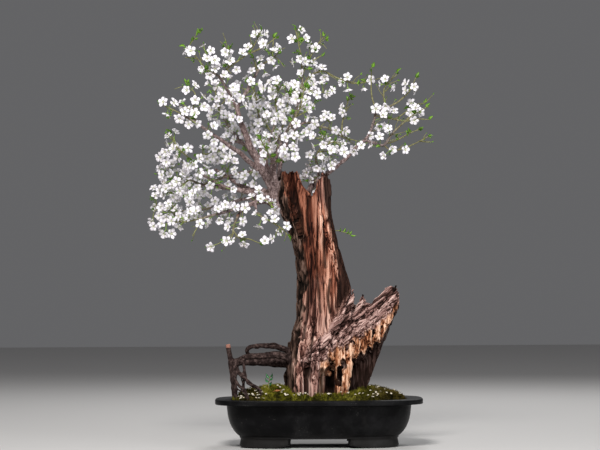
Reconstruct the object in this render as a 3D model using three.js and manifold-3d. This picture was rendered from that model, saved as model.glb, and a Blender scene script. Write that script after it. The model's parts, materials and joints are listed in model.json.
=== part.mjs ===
// A cherry plum bonsai in flower, in an oval tray pot. Millimetres, +Z up, the front is at -Y.
// Lengths below are taken from the middle of the pot, with Z from the ground. The group is moved at the end,
// so that the origin lies under the middle of the whole tree, on the ground.
import * as THREE from 'three';
import Module from 'manifold-3d';

const wasm = await Module();
wasm.setup();

// Driving dimensions

const GAP = 0.3; // between pieces that touch

const POT_HALF_LENGTH = 207; // of the body under the lip
const POT_HALF_DEPTH = 118;
const POT_HEIGHT = 107;
const POT_CORNER = 3.4; // superellipse power: 2 is an ellipse, larger is squarer
const LIP_OVERHANG = 26;
const LIP_THICKNESS = 11.5;
const LIP_INSET = 10; // from the body's face to the inner wall
const FLOOR_TOP = 31;
const FLOOR_UNDER = 20;
const BASE_INSET = 30;
const BAND_HEIGHT = 5;
const FOOT_WALL = 16;
const FOOT_CUTOUT_HALF_LENGTH = 70;
const FOOT_CUTOUT_HALF_DEPTH = 34;
const DRAIN_RADIUS = 10;
const DRAIN_X = 95;
const SCREEN_SIDE = 42;
const SCREEN_THICKNESS = 1.6;

const SOIL_EDGE = 97; // height of the soil at the pot's wall
const SOIL_RISE = 27; // of the mound in the middle
const MOSS_THICKNESS = 7;

const TRUNK_FOOT = 96; // the trunk and the roots go down to here, in holes in the moss and the soil
const TRUNK_SIDES = 22;
const FLUTE_DEPTH = 3.4;
const BARK_PROUD = 3.5;
const FLANK_SLOPE = 0.55; // how far the dark right flank falls back, of the half depth

const BLOOM_RADIUS = 11.8;
const BLOOM_NOTCH = 0.66; // of the radius, between two petals
const PEDICEL_RADIUS = 1.0;
const PEDICEL_SHORT = 9;
const PEDICEL_LONG = 19;
const LEAF_LENGTH = 15;
const LEAF_WIDTH = 7.5;
const LEAF_THICKNESS = 1.5;
const SIDE_WAY_RADIUS = 1.9;
const TWIG_RADIUS = 1.5;
const TIP_RADIUS = 0.9;
const BLOOM_LIFT = 0.2; // how far the petal tips rise, of the radius
const NECK_DEPTH = 3.2; // from a blossom's middle down to the top of its stalk
const BLOOMS_PER_SPUR = 2.4;
const SPUR_HOLDS = 4;
const SPUR_WIDTH = 2.4;
const SPUR_CLEAR = 7; // kept free at both ends of a way
const SPUR_APART = 6;
const WOOD_STEP = 2.5;
const FORK_CLEAR = 1; // between a side way's first ring and the wood it leaves
const FORK_LEAN_LEAST = 0.35;
const FACING_LEAST = 0.15;
const NO_FACE_LOSS = 3;
const BEND_REACH = 5; // along a way, to either side, over which a ring's direction is taken

// Plain tools for solids

const V = (p) => new THREE.Vector3(p[0], p[1], p[2]);

// A seeded draw of numbers from 0 to 1.
function dice(seed) {
  let state = seed >>> 0;
  return () => {
    state = (Math.imul(state, 1664525) + 1013904223) >>> 0;
    return state / 4294967296;
  };
}

// A closed solid from points and triangles, turned so that its faces point out.
function solid(points, faces) {
  const flat = points.flatMap((p) => [p.x, p.y, p.z]);
  let volume = 0;
  for (const [a, b, c] of faces) {
    volume += points[a].dot(points[b].clone().cross(points[c]));
  }
  const index = faces.flatMap(([a, b, c]) => (volume < 0 ? [a, c, b] : [a, b, c]));
  return new wasm.Manifold(new wasm.Mesh({
    numProp: 3,
    vertProperties: new Float32Array(flat),
    triVerts: new Uint32Array(index),
  }));
}

// Rings with the same number of points, joined one to the next and closed at both ends.
// Each end is closed by a point in its middle, or by a plain fan where flat is true.
function loft(rings, flat = false) {
  const n = rings[0].length;
  const points = rings.flat();
  const faces = [];
  for (let r = 0; r + 1 < rings.length; r += 1) {
    for (let i = 0; i < n; i += 1) {
      const a = r * n + i;
      const b = r * n + ((i + 1) % n);
      faces.push([a, b, b + n], [a, b + n, a + n]);
    }
  }
  const last = (rings.length - 1) * n;
  if (flat) {
    for (let i = 1; i + 1 < n; i += 1) {
      faces.push([0, i + 1, i], [last, last + i, last + i + 1]);
    }
    return solid(points, faces);
  }
  const middle = (ring) => ring.reduce((sum, p) => sum.add(p), new THREE.Vector3()).divideScalar(n);
  points.push(middle(rings[0]), middle(rings[rings.length - 1]));
  for (let i = 0; i < n; i += 1) {
    const j = (i + 1) % n;
    faces.push([points.length - 2, j, i], [points.length - 1, last + i, last + j]);
  }
  return solid(points, faces);
}

// A tapered tube along a way of points, its section a polygon that doesn't twist.
function tube(way, from, to, sides, grow = 0) {
  const points = way.map(V);
  const along = points.map((p, i) => {
    const before = points[Math.max(i - 1, 0)];
    const after = points[Math.min(i + 1, points.length - 1)];
    return after.clone().sub(before).normalize();
  });
  const total = wayLength(points);
  let side = new THREE.Vector3(0.31, 0.87, 0.38);
  let done = 0;
  const rings = points.map((p, i) => {
    done += i ? p.distanceTo(points[i - 1]) : 0;
    const radius = from + (to - from) * (done / total) + grow;
    side = side.clone().addScaledVector(along[i], -side.dot(along[i])).normalize();
    const other = along[i].clone().cross(side);
    return polygon(p, side, other, radius, sides);
  });
  return loft(rings, true);
}

function polygon(centre, side, other, radius, sides) {
  return Array.from({ length: sides }, (_, k) => {
    const angle = (2 * Math.PI * k) / sides;
    return centre.clone()
      .addScaledVector(side, radius * Math.cos(angle))
      .addScaledVector(other, radius * Math.sin(angle));
  });
}

function wayLength(points) {
  return points.slice(1).reduce((sum, p, i) => sum + p.distanceTo(points[i]), 0);
}

// Joins solids two by two.
function fuse(solids) {
  let list = solids;
  while (list.length > 1) {
    const next = [];
    for (let i = 0; i < list.length; i += 2) {
      next.push(i + 1 < list.length ? list[i].add(list[i + 1]) : list[i]);
    }
    list = next;
  }
  return list[0];
}

// Of what a cut leaves, the largest body.
function largest(body) {
  const bodies = body.decompose();
  bodies.sort((a, b) => b.volume() - a.volume());
  return bodies[0];
}

const tree = new THREE.Group();

function addNode(name, body, color, roughness) {
  const mesh = body.getMesh();
  const geometry = new THREE.BufferGeometry();
  geometry.setAttribute('position', new THREE.BufferAttribute(new Float32Array(mesh.vertProperties), 3));
  geometry.setIndex(new THREE.BufferAttribute(new Uint32Array(mesh.triVerts), 1));
  geometry.computeVertexNormals();
  const node = new THREE.Mesh(geometry, new THREE.MeshStandardMaterial({ color, roughness, metalness: 0 }));
  node.name = name;
  tree.add(node);
}

// The pot: a shell with a flat lip, a raised band at its base, two drain holes and four skirt feet

function outline(halfLength, halfDepth, z, count, start = 0, end = 2 * Math.PI) {
  const closed = end - start > 6.28;
  return Array.from({ length: count }, (_, k) => {
    const angle = start + ((end - start) * k) / (closed ? count : count - 1);
    const c = Math.cos(angle);
    const s = Math.sin(angle);
    return new THREE.Vector3(
      halfLength * Math.sign(c) * Math.abs(c) ** (2 / POT_CORNER),
      halfDepth * Math.sign(s) * Math.abs(s) ** (2 / POT_CORNER),
      z,
    );
  });
}

const POT_SIDES = 28;

function potRing([inset, z]) {
  return outline(POT_HALF_LENGTH - inset, POT_HALF_DEPTH - inset, z, POT_SIDES);
}

function potSolid() {
  const under = POT_HEIGHT - LIP_THICKNESS;
  const outside = [
    [BASE_INSET, FLOOR_UNDER],
    [BASE_INSET - 1.6, FLOOR_UNDER],
    [BASE_INSET - 1.6, FLOOR_UNDER + BAND_HEIGHT],
    [BASE_INSET - 3, FLOOR_UNDER + BAND_HEIGHT],
    [17, 35],
    [7, 53],
    [2, 73],
    [0, under],
    [-LIP_OVERHANG, under + 0.6],
    [-LIP_OVERHANG, POT_HEIGHT - 1],
    [-LIP_OVERHANG + 1.5, POT_HEIGHT],
    [LIP_INSET, POT_HEIGHT - 0.5],
    [LIP_INSET + 3, 70],
    [LIP_INSET + 12, 46],
    [BASE_INSET + 12, FLOOR_TOP],
  ];
  const body = loft(outside.map(potRing));
  const feet = [0, 1, 2, 3].map(footSolid);
  const drains = [-DRAIN_X, DRAIN_X]
    .map((x) => tube([[x, 0, 0], [x, 0, 60]], DRAIN_RADIUS, DRAIN_RADIUS, 12));
  return fuse([body, ...feet]).subtract(fuse(drains));
}

// One skirt foot round a corner of the base: flat on the ground, its ends scrolled up a little.
function footSolid(corner) {
  const outer = { length: POT_HALF_LENGTH - BASE_INSET + 1, depth: POT_HALF_DEPTH - BASE_INSET + 1 };
  const atLength = FOOT_CUTOUT_HALF_LENGTH / outer.length;
  const atDepth = FOOT_CUTOUT_HALF_DEPTH / outer.depth;
  const start = Math.asin(atDepth ** (POT_CORNER / 2));
  const end = Math.acos(atLength ** (POT_CORNER / 2));
  const steps = 7;
  const turnX = corner === 1 || corner === 2 ? -1 : 1;
  const turnY = corner > 1 ? -1 : 1;
  const scroll = [6, 0, 0, 0, 0, 0, 6];
  const ring = (inset, lift) => outline(outer.length - inset, outer.depth - inset, 0, steps, start, end)
    .map((p, k) => new THREE.Vector3(p.x * turnX, p.y * turnY, lift(k)));
  const bulge = ring(-2, (k) => scroll[k]);
  const outTop = ring(1, () => FLOOR_UNDER + 2);
  const inBottom = ring(FOOT_WALL, (k) => scroll[k]);
  const inTop = ring(FOOT_WALL, () => FLOOR_UNDER + 2);
  const sections = bulge.map((p, k) => [p, outTop[k], inTop[k], inBottom[k]]);
  return loft(sections, true);
}

function screenSolid(x) {
  const half = SCREEN_SIDE / 2;
  const plate = new THREE.Shape();
  plate.moveTo(-half, -half);
  plate.lineTo(half, -half);
  plate.lineTo(half, half);
  plate.lineTo(-half, half);
  plate.closePath();
  const bar = half / 2;
  for (const cx of [-bar, bar]) {
    for (const cy of [-bar, bar]) {
      const hole = new THREE.Path();
      hole.absellipse(cx, cy, 6.5, 6.5, 0, 2 * Math.PI, true);
      plate.holes.push(hole);
    }
  }
  const options = { depth: SCREEN_THICKNESS, bevelEnabled: false, curveSegments: 3 };
  const geometry = new THREE.ExtrudeGeometry(plate, options);
  geometry.translate(x, 0, FLOOR_TOP + GAP);
  return fromGeometry(geometry);
}

// Shared corners of a three.js geometry are merged by their place.
function fromGeometry(geometry) {
  const place = geometry.getAttribute('position');
  const known = new Map();
  const points = [];
  const corner = (i) => {
    const p = new THREE.Vector3().fromBufferAttribute(place, i);
    const key = p.toArray().map((v) => v.toFixed(4)).join(' ');
    if (!known.has(key)) {
      known.set(key, points.length);
      points.push(p);
    }
    return known.get(key);
  };
  const count = geometry.index ? geometry.index.count : place.count;
  const at = (i) => (geometry.index ? geometry.index.getX(i) : i);
  const faces = [];
  for (let i = 0; i < count; i += 3) {
    const face = [corner(at(i)), corner(at(i + 1)), corner(at(i + 2))];
    if (new Set(face).size === 3) {
      faces.push(face);
    }
  }
  return solid(points, faces);
}

// Soil and moss: a low mound on the same grid of rings, so that the moss lies on the soil everywhere

const GROUND_SIDES = POT_SIDES; // so that the soil's corners lie in the pot's
const GROUND_RINGS = [0.3, 0.55, 0.76, 0.91, 1];
const BED_RINGS = [0.55, 0.84, 1]; // where the moss meets the soil
const GROUND_HALF_LENGTH = POT_HALF_LENGTH - LIP_INSET - 2;
const GROUND_HALF_DEPTH = POT_HALF_DEPTH - LIP_INSET - 2;

function moundHeight(x, y) {
  const out = Math.abs(x / GROUND_HALF_LENGTH) ** 3 + Math.abs(y / GROUND_HALF_DEPTH) ** 3;
  const waves = 1.6 * Math.sin(0.045 * x + 1) * Math.cos(0.06 * y);
  return SOIL_EDGE + (SOIL_RISE + waves) * Math.max(0, 1 - out ** 1.3);
}

function groundRing(share, lift) {
  return outline(GROUND_HALF_LENGTH * share, GROUND_HALF_DEPTH * share, 0, GROUND_SIDES)
    .map((p) => new THREE.Vector3(p.x, p.y, moundHeight(p.x, p.y) + lift(p.x, p.y)));
}

function mossRelief(x, y) {
  const bumps = 2.2 * Math.sin(0.11 * x + 0.3) * Math.sin(0.13 * y + 0.8);
  const tufts = 1.8 * Math.sin(0.21 * x + 0.17 * y);
  return MOSS_THICKNESS + bumps + tufts;
}

function soilSolid() {
  const flat = () => 0;
  const top = BED_RINGS.map((share) => groundRing(share, flat));
  const wall = [[LIP_INSET + 3.6, 70], [LIP_INSET + 12.6, 46.6], [BASE_INSET + 12.4, FLOOR_TOP + GAP]]
    .map(([inset, z]) => outline(POT_HALF_LENGTH - inset, POT_HALF_DEPTH - inset, z, GROUND_SIDES));
  const recesses = [-DRAIN_X, DRAIN_X].map((x) => {
    const half = SCREEN_SIDE / 2 + GAP;
    const top = FLOOR_TOP + SCREEN_THICKNESS + 2 * GAP;
    return loft([0, top].map((z) => [[-half, -half], [half, -half], [half, half], [-half, half]]
      .map(([dx, dy]) => new THREE.Vector3(x + dx, dy, z))), true);
  });
  return loft([...top, ...wall]).subtract(fuse(recesses));
}

// Plain holes for what stands in the ground: one round the foot of the trunk, and one for each root.
const TRUNK_HOLE = [[-86, 30], [-78, -34], [-60, -80], [-14, -94], [62, -88], [110, -46], [116, 38], [50, 82],
  [-46, 78]];

function groundCutter() {
  const hole = loft([TRUNK_FOOT - GAP, 200]
    .map((z) => TRUNK_HOLE.map(([x, y]) => new THREE.Vector3(x, y, z))), true);
  const roots = ROOTS.map((r) => tube(r.way.map(([x, y, z]) => [x, y, z === TRUNK_FOOT ? z - GAP : z]),
    r.from, r.to, r.from > 5 ? 5 : 4, 1.5 * GAP));
  const stem = tube(SEEDLING.stem, 1.6, 1, 4, 1.5 * GAP);
  return fuse([hole, ...roots, stem]);
}

function mossSolid() {
  const under = BED_RINGS.map((share) => groundRing(share, () => GAP));
  const over = GROUND_RINGS.map((share) => groundRing(share * 0.998, (x, y) => {
    const edge = share === 1 ? 0.25 : 1;
    return GAP + mossRelief(x, y) * edge;
  }));
  return loft([...under, ...over.reverse()]);
}

// The trunk: a column of deadwood with a strip of live bark on its left, a hollow, two broken prongs,
// a wing of splinters on the right and toes at the base

// Height, left and right edge, front and back edge of the column.
const COLUMN = [
  [TRUNK_FOOT, -66, 45, -56, 58],
  [180, -69, 43, -55, 57],
  [254, -59, 56, -49, 52],
  [285, -48, 66, -46, 50],
  [325, -47, 76, -44, 48],
  [358, -45.5, 73, -43, 46],
  [427, -49.5, 53, -42, 45],
  [457, -55.4, 45, -42, 45],
  [486, -66, 38, -42, 46],
  [520, -81, 32, -42, 46],
  [548, -93, 30, -42, 46],
  [575, -93, 31, -40, 44],
  [600, -87, 31, -37, 41],
  [622, -84, 30, -34, 38],
];
// The corner between the lit front face and the dark right flank, as X by height.
const ARRIS = [[96, 30], [227, 34], [334, 38], [386, 41], [450, 34], [486, 24], [531, 14], [600, 12],
  [640, 12]];
// The right edge of the live bark strip, as X by height.
const BARK_EDGE = [[96, -52], [187, -52], [252, -42], [358, -26], [430, -28], [486, -42], [548, -70],
  [640, -80]];

function readCurve(curve, at) {
  const next = curve.findIndex(([z]) => z >= at);
  if (next <= 0) {
    return curve[next < 0 ? curve.length - 1 : 0][1];
  }
  const [z0, v0] = curve[next - 1];
  const [z1, v1] = curve[next];
  return v0 + ((v1 - v0) * (at - z0)) / (z1 - z0);
}

function columnRing([z, left, right, front, back], grow) {
  const centreX = (left + right) / 2;
  const centreY = (front + back) / 2;
  const square = 2.5;
  return Array.from({ length: TRUNK_SIDES }, (_, k) => {
    const angle = (2 * Math.PI * k) / TRUNK_SIDES;
    const c = Math.cos(angle);
    const s = Math.sin(angle);
    const rough = dice(k * 7919 + 5);
    const own = rough();
    const x = (right - centreX) * Math.sign(c) * Math.abs(c) ** (2 / square);
    const y = (back - centreY) * Math.sign(s) * Math.abs(s) ** (2 / square);
    const bark = centreX + x < readCurve(BARK_EDGE, z) && s < 0.6;
    const flute = (k % 2 ? -1 : 0.35) * FLUTE_DEPTH * (0.6 + 0.8 * own);
    const scale = 1.6 * Math.sin(z * 0.21 + k * 2.4);
    const proud = bark ? BARK_PROUD * 0.4 + scale : flute;
    const arris = readCurve(ARRIS, z);
    const past = THREE.MathUtils.clamp((centreX + x - arris) / (right - arris), 0, 1);
    const flank = s < 0 ? 1 - FLANK_SLOPE * past : 1;
    const out = new THREE.Vector3(x, y, 0).normalize().multiplyScalar(proud + grow);
    return new THREE.Vector3(centreX + x + out.x, centreY + y * flank + out.y, z);
  });
}

// The hollow between the bark strip and the slab of deadwood, open to the front and at the top.
function hollowCutter() {
  const stations = [[648, -69, 15, 30], [600, -66, 14, 28], [560, -58, 9.5, 24], [520, -50, 5.5, 19],
    [486, -43, 3.5, 14], [455, -37, 1.5, 8]];
  return loft(stations.map(([z, x, halfX, halfY]) => Array.from({ length: 8 }, (_, k) => {
    const angle = (2 * Math.PI * (k + 0.5)) / 8;
    return new THREE.Vector3(x + halfX * Math.cos(angle), -36 + halfY * Math.sin(angle), z);
  })));
}

// What is broken away between and beside the prongs, seen from the front, cut right through.
const BREAKS = [
  { skew: 0, points: [[-46, 650], [-45, 606], [-34, 584], [-24, 572], [-11, 556], [-5, 574], [1, 597],
    [10, 606], [12, 650]] },
  { skew: -0.25, points: [[-110, 650], [-95, 610], [-86, 604], [-79, 614], [-66, 610], [-58, 617], [-52, 608],
    [-40, 612], [-38, 650]] },
  { skew: 0.12, points: [[10, 650], [12, 604], [18, 612], [23, 603], [29, 586], [36, 598], [48, 590],
    [50, 650]] },
];

function breakCutter({ points, skew }) {
  return loft([-80, 80].map((y) => points.map(([x, z]) => new THREE.Vector3(x, y, z + skew * y))), true);
}

// The wing, from inside the column out to its tip.
// Each section has its X, the heights of its top, its golden edge and its foot, and the front of the edge.
const WING = [
  [0, 250, 168, 96, -40],
  [14, 285, 172, 96, -66],
  [26, 296, 190, 96, -72],
  [38, 305, 176, 96, -75],
  [50, 318, 206, 96, -76],
  [62, 328, 190, 96, -75],
  [73, 327, 218, 96, -73],
  [83, 316, 206, 96, -70],
  [93, 318, 232, 96, -67],
  [101, 334, 218, 110, -64],
  [110, 322, 240, 139, -60],
  [119, 322, 226, 160, -57],
  [128, 334, 250, 186, -54],
  [137, 338, 238, 208, -50],
  [147, 348, 258, 234, -46],
  [154, 355, 272, 250, -42],
  [163, 362, 284, 268, -36],
  [171, 361, 296, 288, -30],
  [177, 367, 308, 300, -22],
  [181, 352, 322, 310, -14],
];

function wingSection([x, top, edge, foot, front], index, grow) {
  const rough = dice(index * 131 + 17);
  const jut = () => (rough() - 0.5) * 5;
  const back = 44 - 0.16 * x;
  const crest = 10 - 0.05 * x;
  const undercut = edge - Math.min(14, (edge - foot) * 0.3);
  const recess = front + 0.36 * (back - front);
  const face = [0.2, 0.4, 0.6, 0.8].map((t, k) => [
    crest + (front - crest) * t ** 1.2 + (k % 2 ? -4.5 : 2.5) + jut() * 0.5,
    top + (edge - top) * t,
  ]);
  const points = [
    [crest + 3, top],
    ...face,
    [front, edge],
    [front + 10, undercut],
    [recess, foot + (undercut - foot) * 0.8],
    [recess + 3, foot + (undercut - foot) * 0.3],
    [recess + 2, foot],
    [back - 6, foot],
    [back, foot + (top - foot) * 0.35],
    [back - 9 + jut(), foot + (top - foot) * 0.75],
  ];
  const middle = new THREE.Vector3(x, (front + back) / 2, (top + foot) / 2);
  return points.map(([y, z]) => {
    const p = new THREE.Vector3(x, y, z);
    return p.addScaledVector(p.clone().sub(middle).normalize(), z < foot + 1 ? 0 : grow);
  });
}

// Toes and columns at the front of the base, upright shards behind the wing, as tapered splinters.
const SPLINTERS = [
  { from: 15, to: 9, way: [[-38, -34, 240], [-43, -52, 180], [-44, -65, 135], [-44, -65, TRUNK_FOOT]] },
  { from: 20, to: 8, way: [[-8, -34, 250], [-14, -58, 190], [-11, -77, 135], [-11, -77, TRUNK_FOOT]] },
  { from: 8, to: 6, way: [[38, -52, 200], [37, -66, 165], [36, -68, 130], [36, -68, TRUNK_FOOT]] },
  { from: 10, to: 9, way: [[64, -46, 210], [60, -62, 170], [53, -71, 135], [53, -71, TRUNK_FOOT]] },
  { from: 13, to: 3, way: [[36, -30, 262], [48, -36, 292], [57, -36, 318], [62, -36, 342]] },
  { from: 14, to: 3, way: [[52, -22, 268], [66, -26, 300], [74, -24, 326], [78, -22, 350]] },
  { from: 12, to: 2.5, way: [[74, -2, 270], [90, -2, 306], [98, 0, 326], [101, 0, 342]] },
  { from: 12, to: 4, way: [[-58, 20, 230], [-68, 30, 170], [-72, 35, 130], [-72, 35, TRUNK_FOOT]] },
  { from: 16, to: 7, way: [[20, 36, 230], [30, 54, 170], [34, 65, 130], [34, 65, TRUNK_FOOT]] },
];

// Limbs that grew out of the top of the bark strip: radius at the start and at the end, and the way between.
const LIMBS = [
  { from: 13, to: 4.8, way: [[-84, 4, 530], [-98, 0, 566], [-108, -8, 592], [-126, -24, 626],
    [-148, -38, 666],
    [-162, -46, 700], [-173, -50, 729], [-179, -50, 754], [-176, -46, 772]] },
  { from: 6, to: 3.8, way: [[-133, -28, 621], [-173, -70, 656], [-200, -95, 673], [-232, -115, 695]] },
  { from: 9, to: 3.2, way: [[-90, 6, 552], [-124, 12, 574], [-166, 40, 583], [-189, 55, 597], [-206, 62, 609],
    [-234, 70, 628]] },
  { from: 9, to: 3.8, way: [[-88, -2, 544], [-126, 0, 562], [-166, -5, 574], [-196, -12, 578],
    [-225, -20, 583]] },
  { from: 3.2, to: 2.2, way: [[-124, -14, 618], [-141, 8, 621], [-181, 34, 616], [-219, 62, 606]] },
  { from: 9, to: 3.6, way: [[-82, -6, 528], [-110, -14, 549], [-130, -22, 549], [-155, -35, 542],
    [-182, -50, 533]] },
  { from: 8, to: 3.4, way: [[-92, 10, 568], [-118, 24, 619], [-126, 42, 652], [-130, 55, 675]] },
  { from: 8, to: 3.4, way: [[-92, -2, 568], [-108, -8, 608], [-115, -12, 634], [-117, -18, 659]] },
  { from: 6, to: 3.4, way: [[-88, 14, 572], [-104, 30, 619], [-104, 44, 641], [-101, 58, 659]] },
  { from: 6, to: 3.4, way: [[-86, -8, 566], [-97, -22, 608], [-95, -34, 634], [-90, -48, 659]] },
  { from: 6, to: 3.2, way: [[-82, 20, 566], [-86, 24, 621], [-76, 26, 666], [-63, 24, 706], [-50, 20, 745]] },
  { from: 3.2, to: 2.6, way: [[-65, 24, 700], [-43, 40, 724], [-24, 50, 734]] },
  { from: 7, to: 3.4, way: [[-32, 18, 536], [-16, 34, 583], [5, 38, 603], [28, 36, 619], [59, 30, 644],
    [97, 20, 682], [110, 16, 688]] },
  { from: 4.6, to: 3.2, way: [[-133, -26, 637], [-158, 20, 670], [-184, 60, 702]] },
  { from: 7, to: 3.4, way: [[-84, 16, 546], [-112, 26, 560], [-142, 50, 560], [-176, 80, 558]] },
  { from: 4.4, to: 3.4, way: [[-178, -50, 750], [-188, -62, 772], [-197, -71, 790]] },
  { from: 4, to: 3.2, way: [[-203, -14, 580], [-220, -26, 588], [-236, -34, 596]] },
  { from: 4, to: 3.0, way: [[92, 20, 677], [110, 25, 694], [122, 30, 712]] },
  { from: 3.6, to: 2.6, way: [[-166, 34, 682], [-186, 58, 690], [-200, 70, 688]] },
  { from: 3.4, to: 2.4, way: [[-158, -37, 541], [-172, -50, 526], [-180, -57, 514]] },
  { from: 3.2, to: 2.2, way: [[-140, -27, 547], [-138, -38, 530], [-134, -44, 520]] },
  { from: 3.6, to: 2.6, way: [[4, 37, 604], [2, 26, 618], [0, 10, 630]] },
  { from: 3.6, to: 2.8, way: [[-125, 40, 650], [-126, 56, 658], [-126, 72, 663]] },
  { from: 3.4, to: 2.6, way: [[-95, -32, 632], [-100, -48, 640], [-104, -62, 644]] },
];

// The right prong as plain wood, for the blossoms over it to keep clear of.
const PRONG = { from: 29, to: 25, way: [[18, 0, 550], [18, 2, 600]] };

// Bare roots on the left: a cut post, a log behind, and the roots that arch over and dive into the moss.
const ROOTS = [
  { from: 7, to: 5.5, way: [[-188, 26, TRUNK_FOOT], [-198, 24, 180], [-205, 22, 229]] },
  { from: 9, to: 13, way: [[-199, 24, 186], [-162, 30, 190], [-112, 26, 189], [-48, 12, 184]] },
  { from: 8, to: 4, way: [[-48, 0, 205], [-86, -4, 221], [-106, -6, 225], [-131, -4, 226], [-154, -2, 223],
    [-162, 2, 214], [-155, 14, 200]] },
  { from: 9, to: 4.2, way: [[-48, -14, 182], [-71, -18, 199], [-99, -20, 205], [-128, -20, 203],
    [-154, -20, 203],
    [-171, -22, 198], [-183, -24, 187], [-188, -28, 170], [-189, -34, 149], [-184, -38, TRUNK_FOOT]] },
  { from: 4, to: 3, way: [[-184, -24, 182], [-180, -34, 168], [-166, -48, 154], [-150, -62, 141],
    [-131, -76, 128],
    [-121, -84, TRUNK_FOOT]] },
  { from: 3.4, to: 2.6, way: [[-168, -20, 200], [-168, -32, 186], [-167, -38, 160],
    [-171, -42, TRUNK_FOOT]] },
  { from: 3.4, to: 3, way: [[-192, -30, 160], [-180, -56, 140], [-164, -72, 126], [-153, -80, TRUNK_FOOT]] },
];

function trunkSolid(grow) {
  const column = loft(COLUMN.map((station) => columnRing(station, grow)));
  const wing = loft(WING.map((station, k) => wingSection(station, k, grow)));
  const splinters = SPLINTERS.map((s) => tube(s.way, s.from, s.to, 5, grow));
  const roots = ROOTS.map((r) => tube(r.way, r.from, r.to, r.from > 5 ? 5 : 4, grow));
  const limbs = LIMBS.map((l) => tube(l.way, l.from, l.to, l.from > 10 ? 5 : 4, grow));
  const cut = grow > 0 ? [] : [hollowCutter(), ...BREAKS.map(breakCutter)];
  const broken = cut.length ? column.subtract(fuse(cut)) : column;
  return fuse([broken, wing, ...splinters, ...roots, ...limbs]);
}

// The crown: sprays of twigs that carry on from the limbs, with blossoms and leaves set on them by rule

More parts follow.
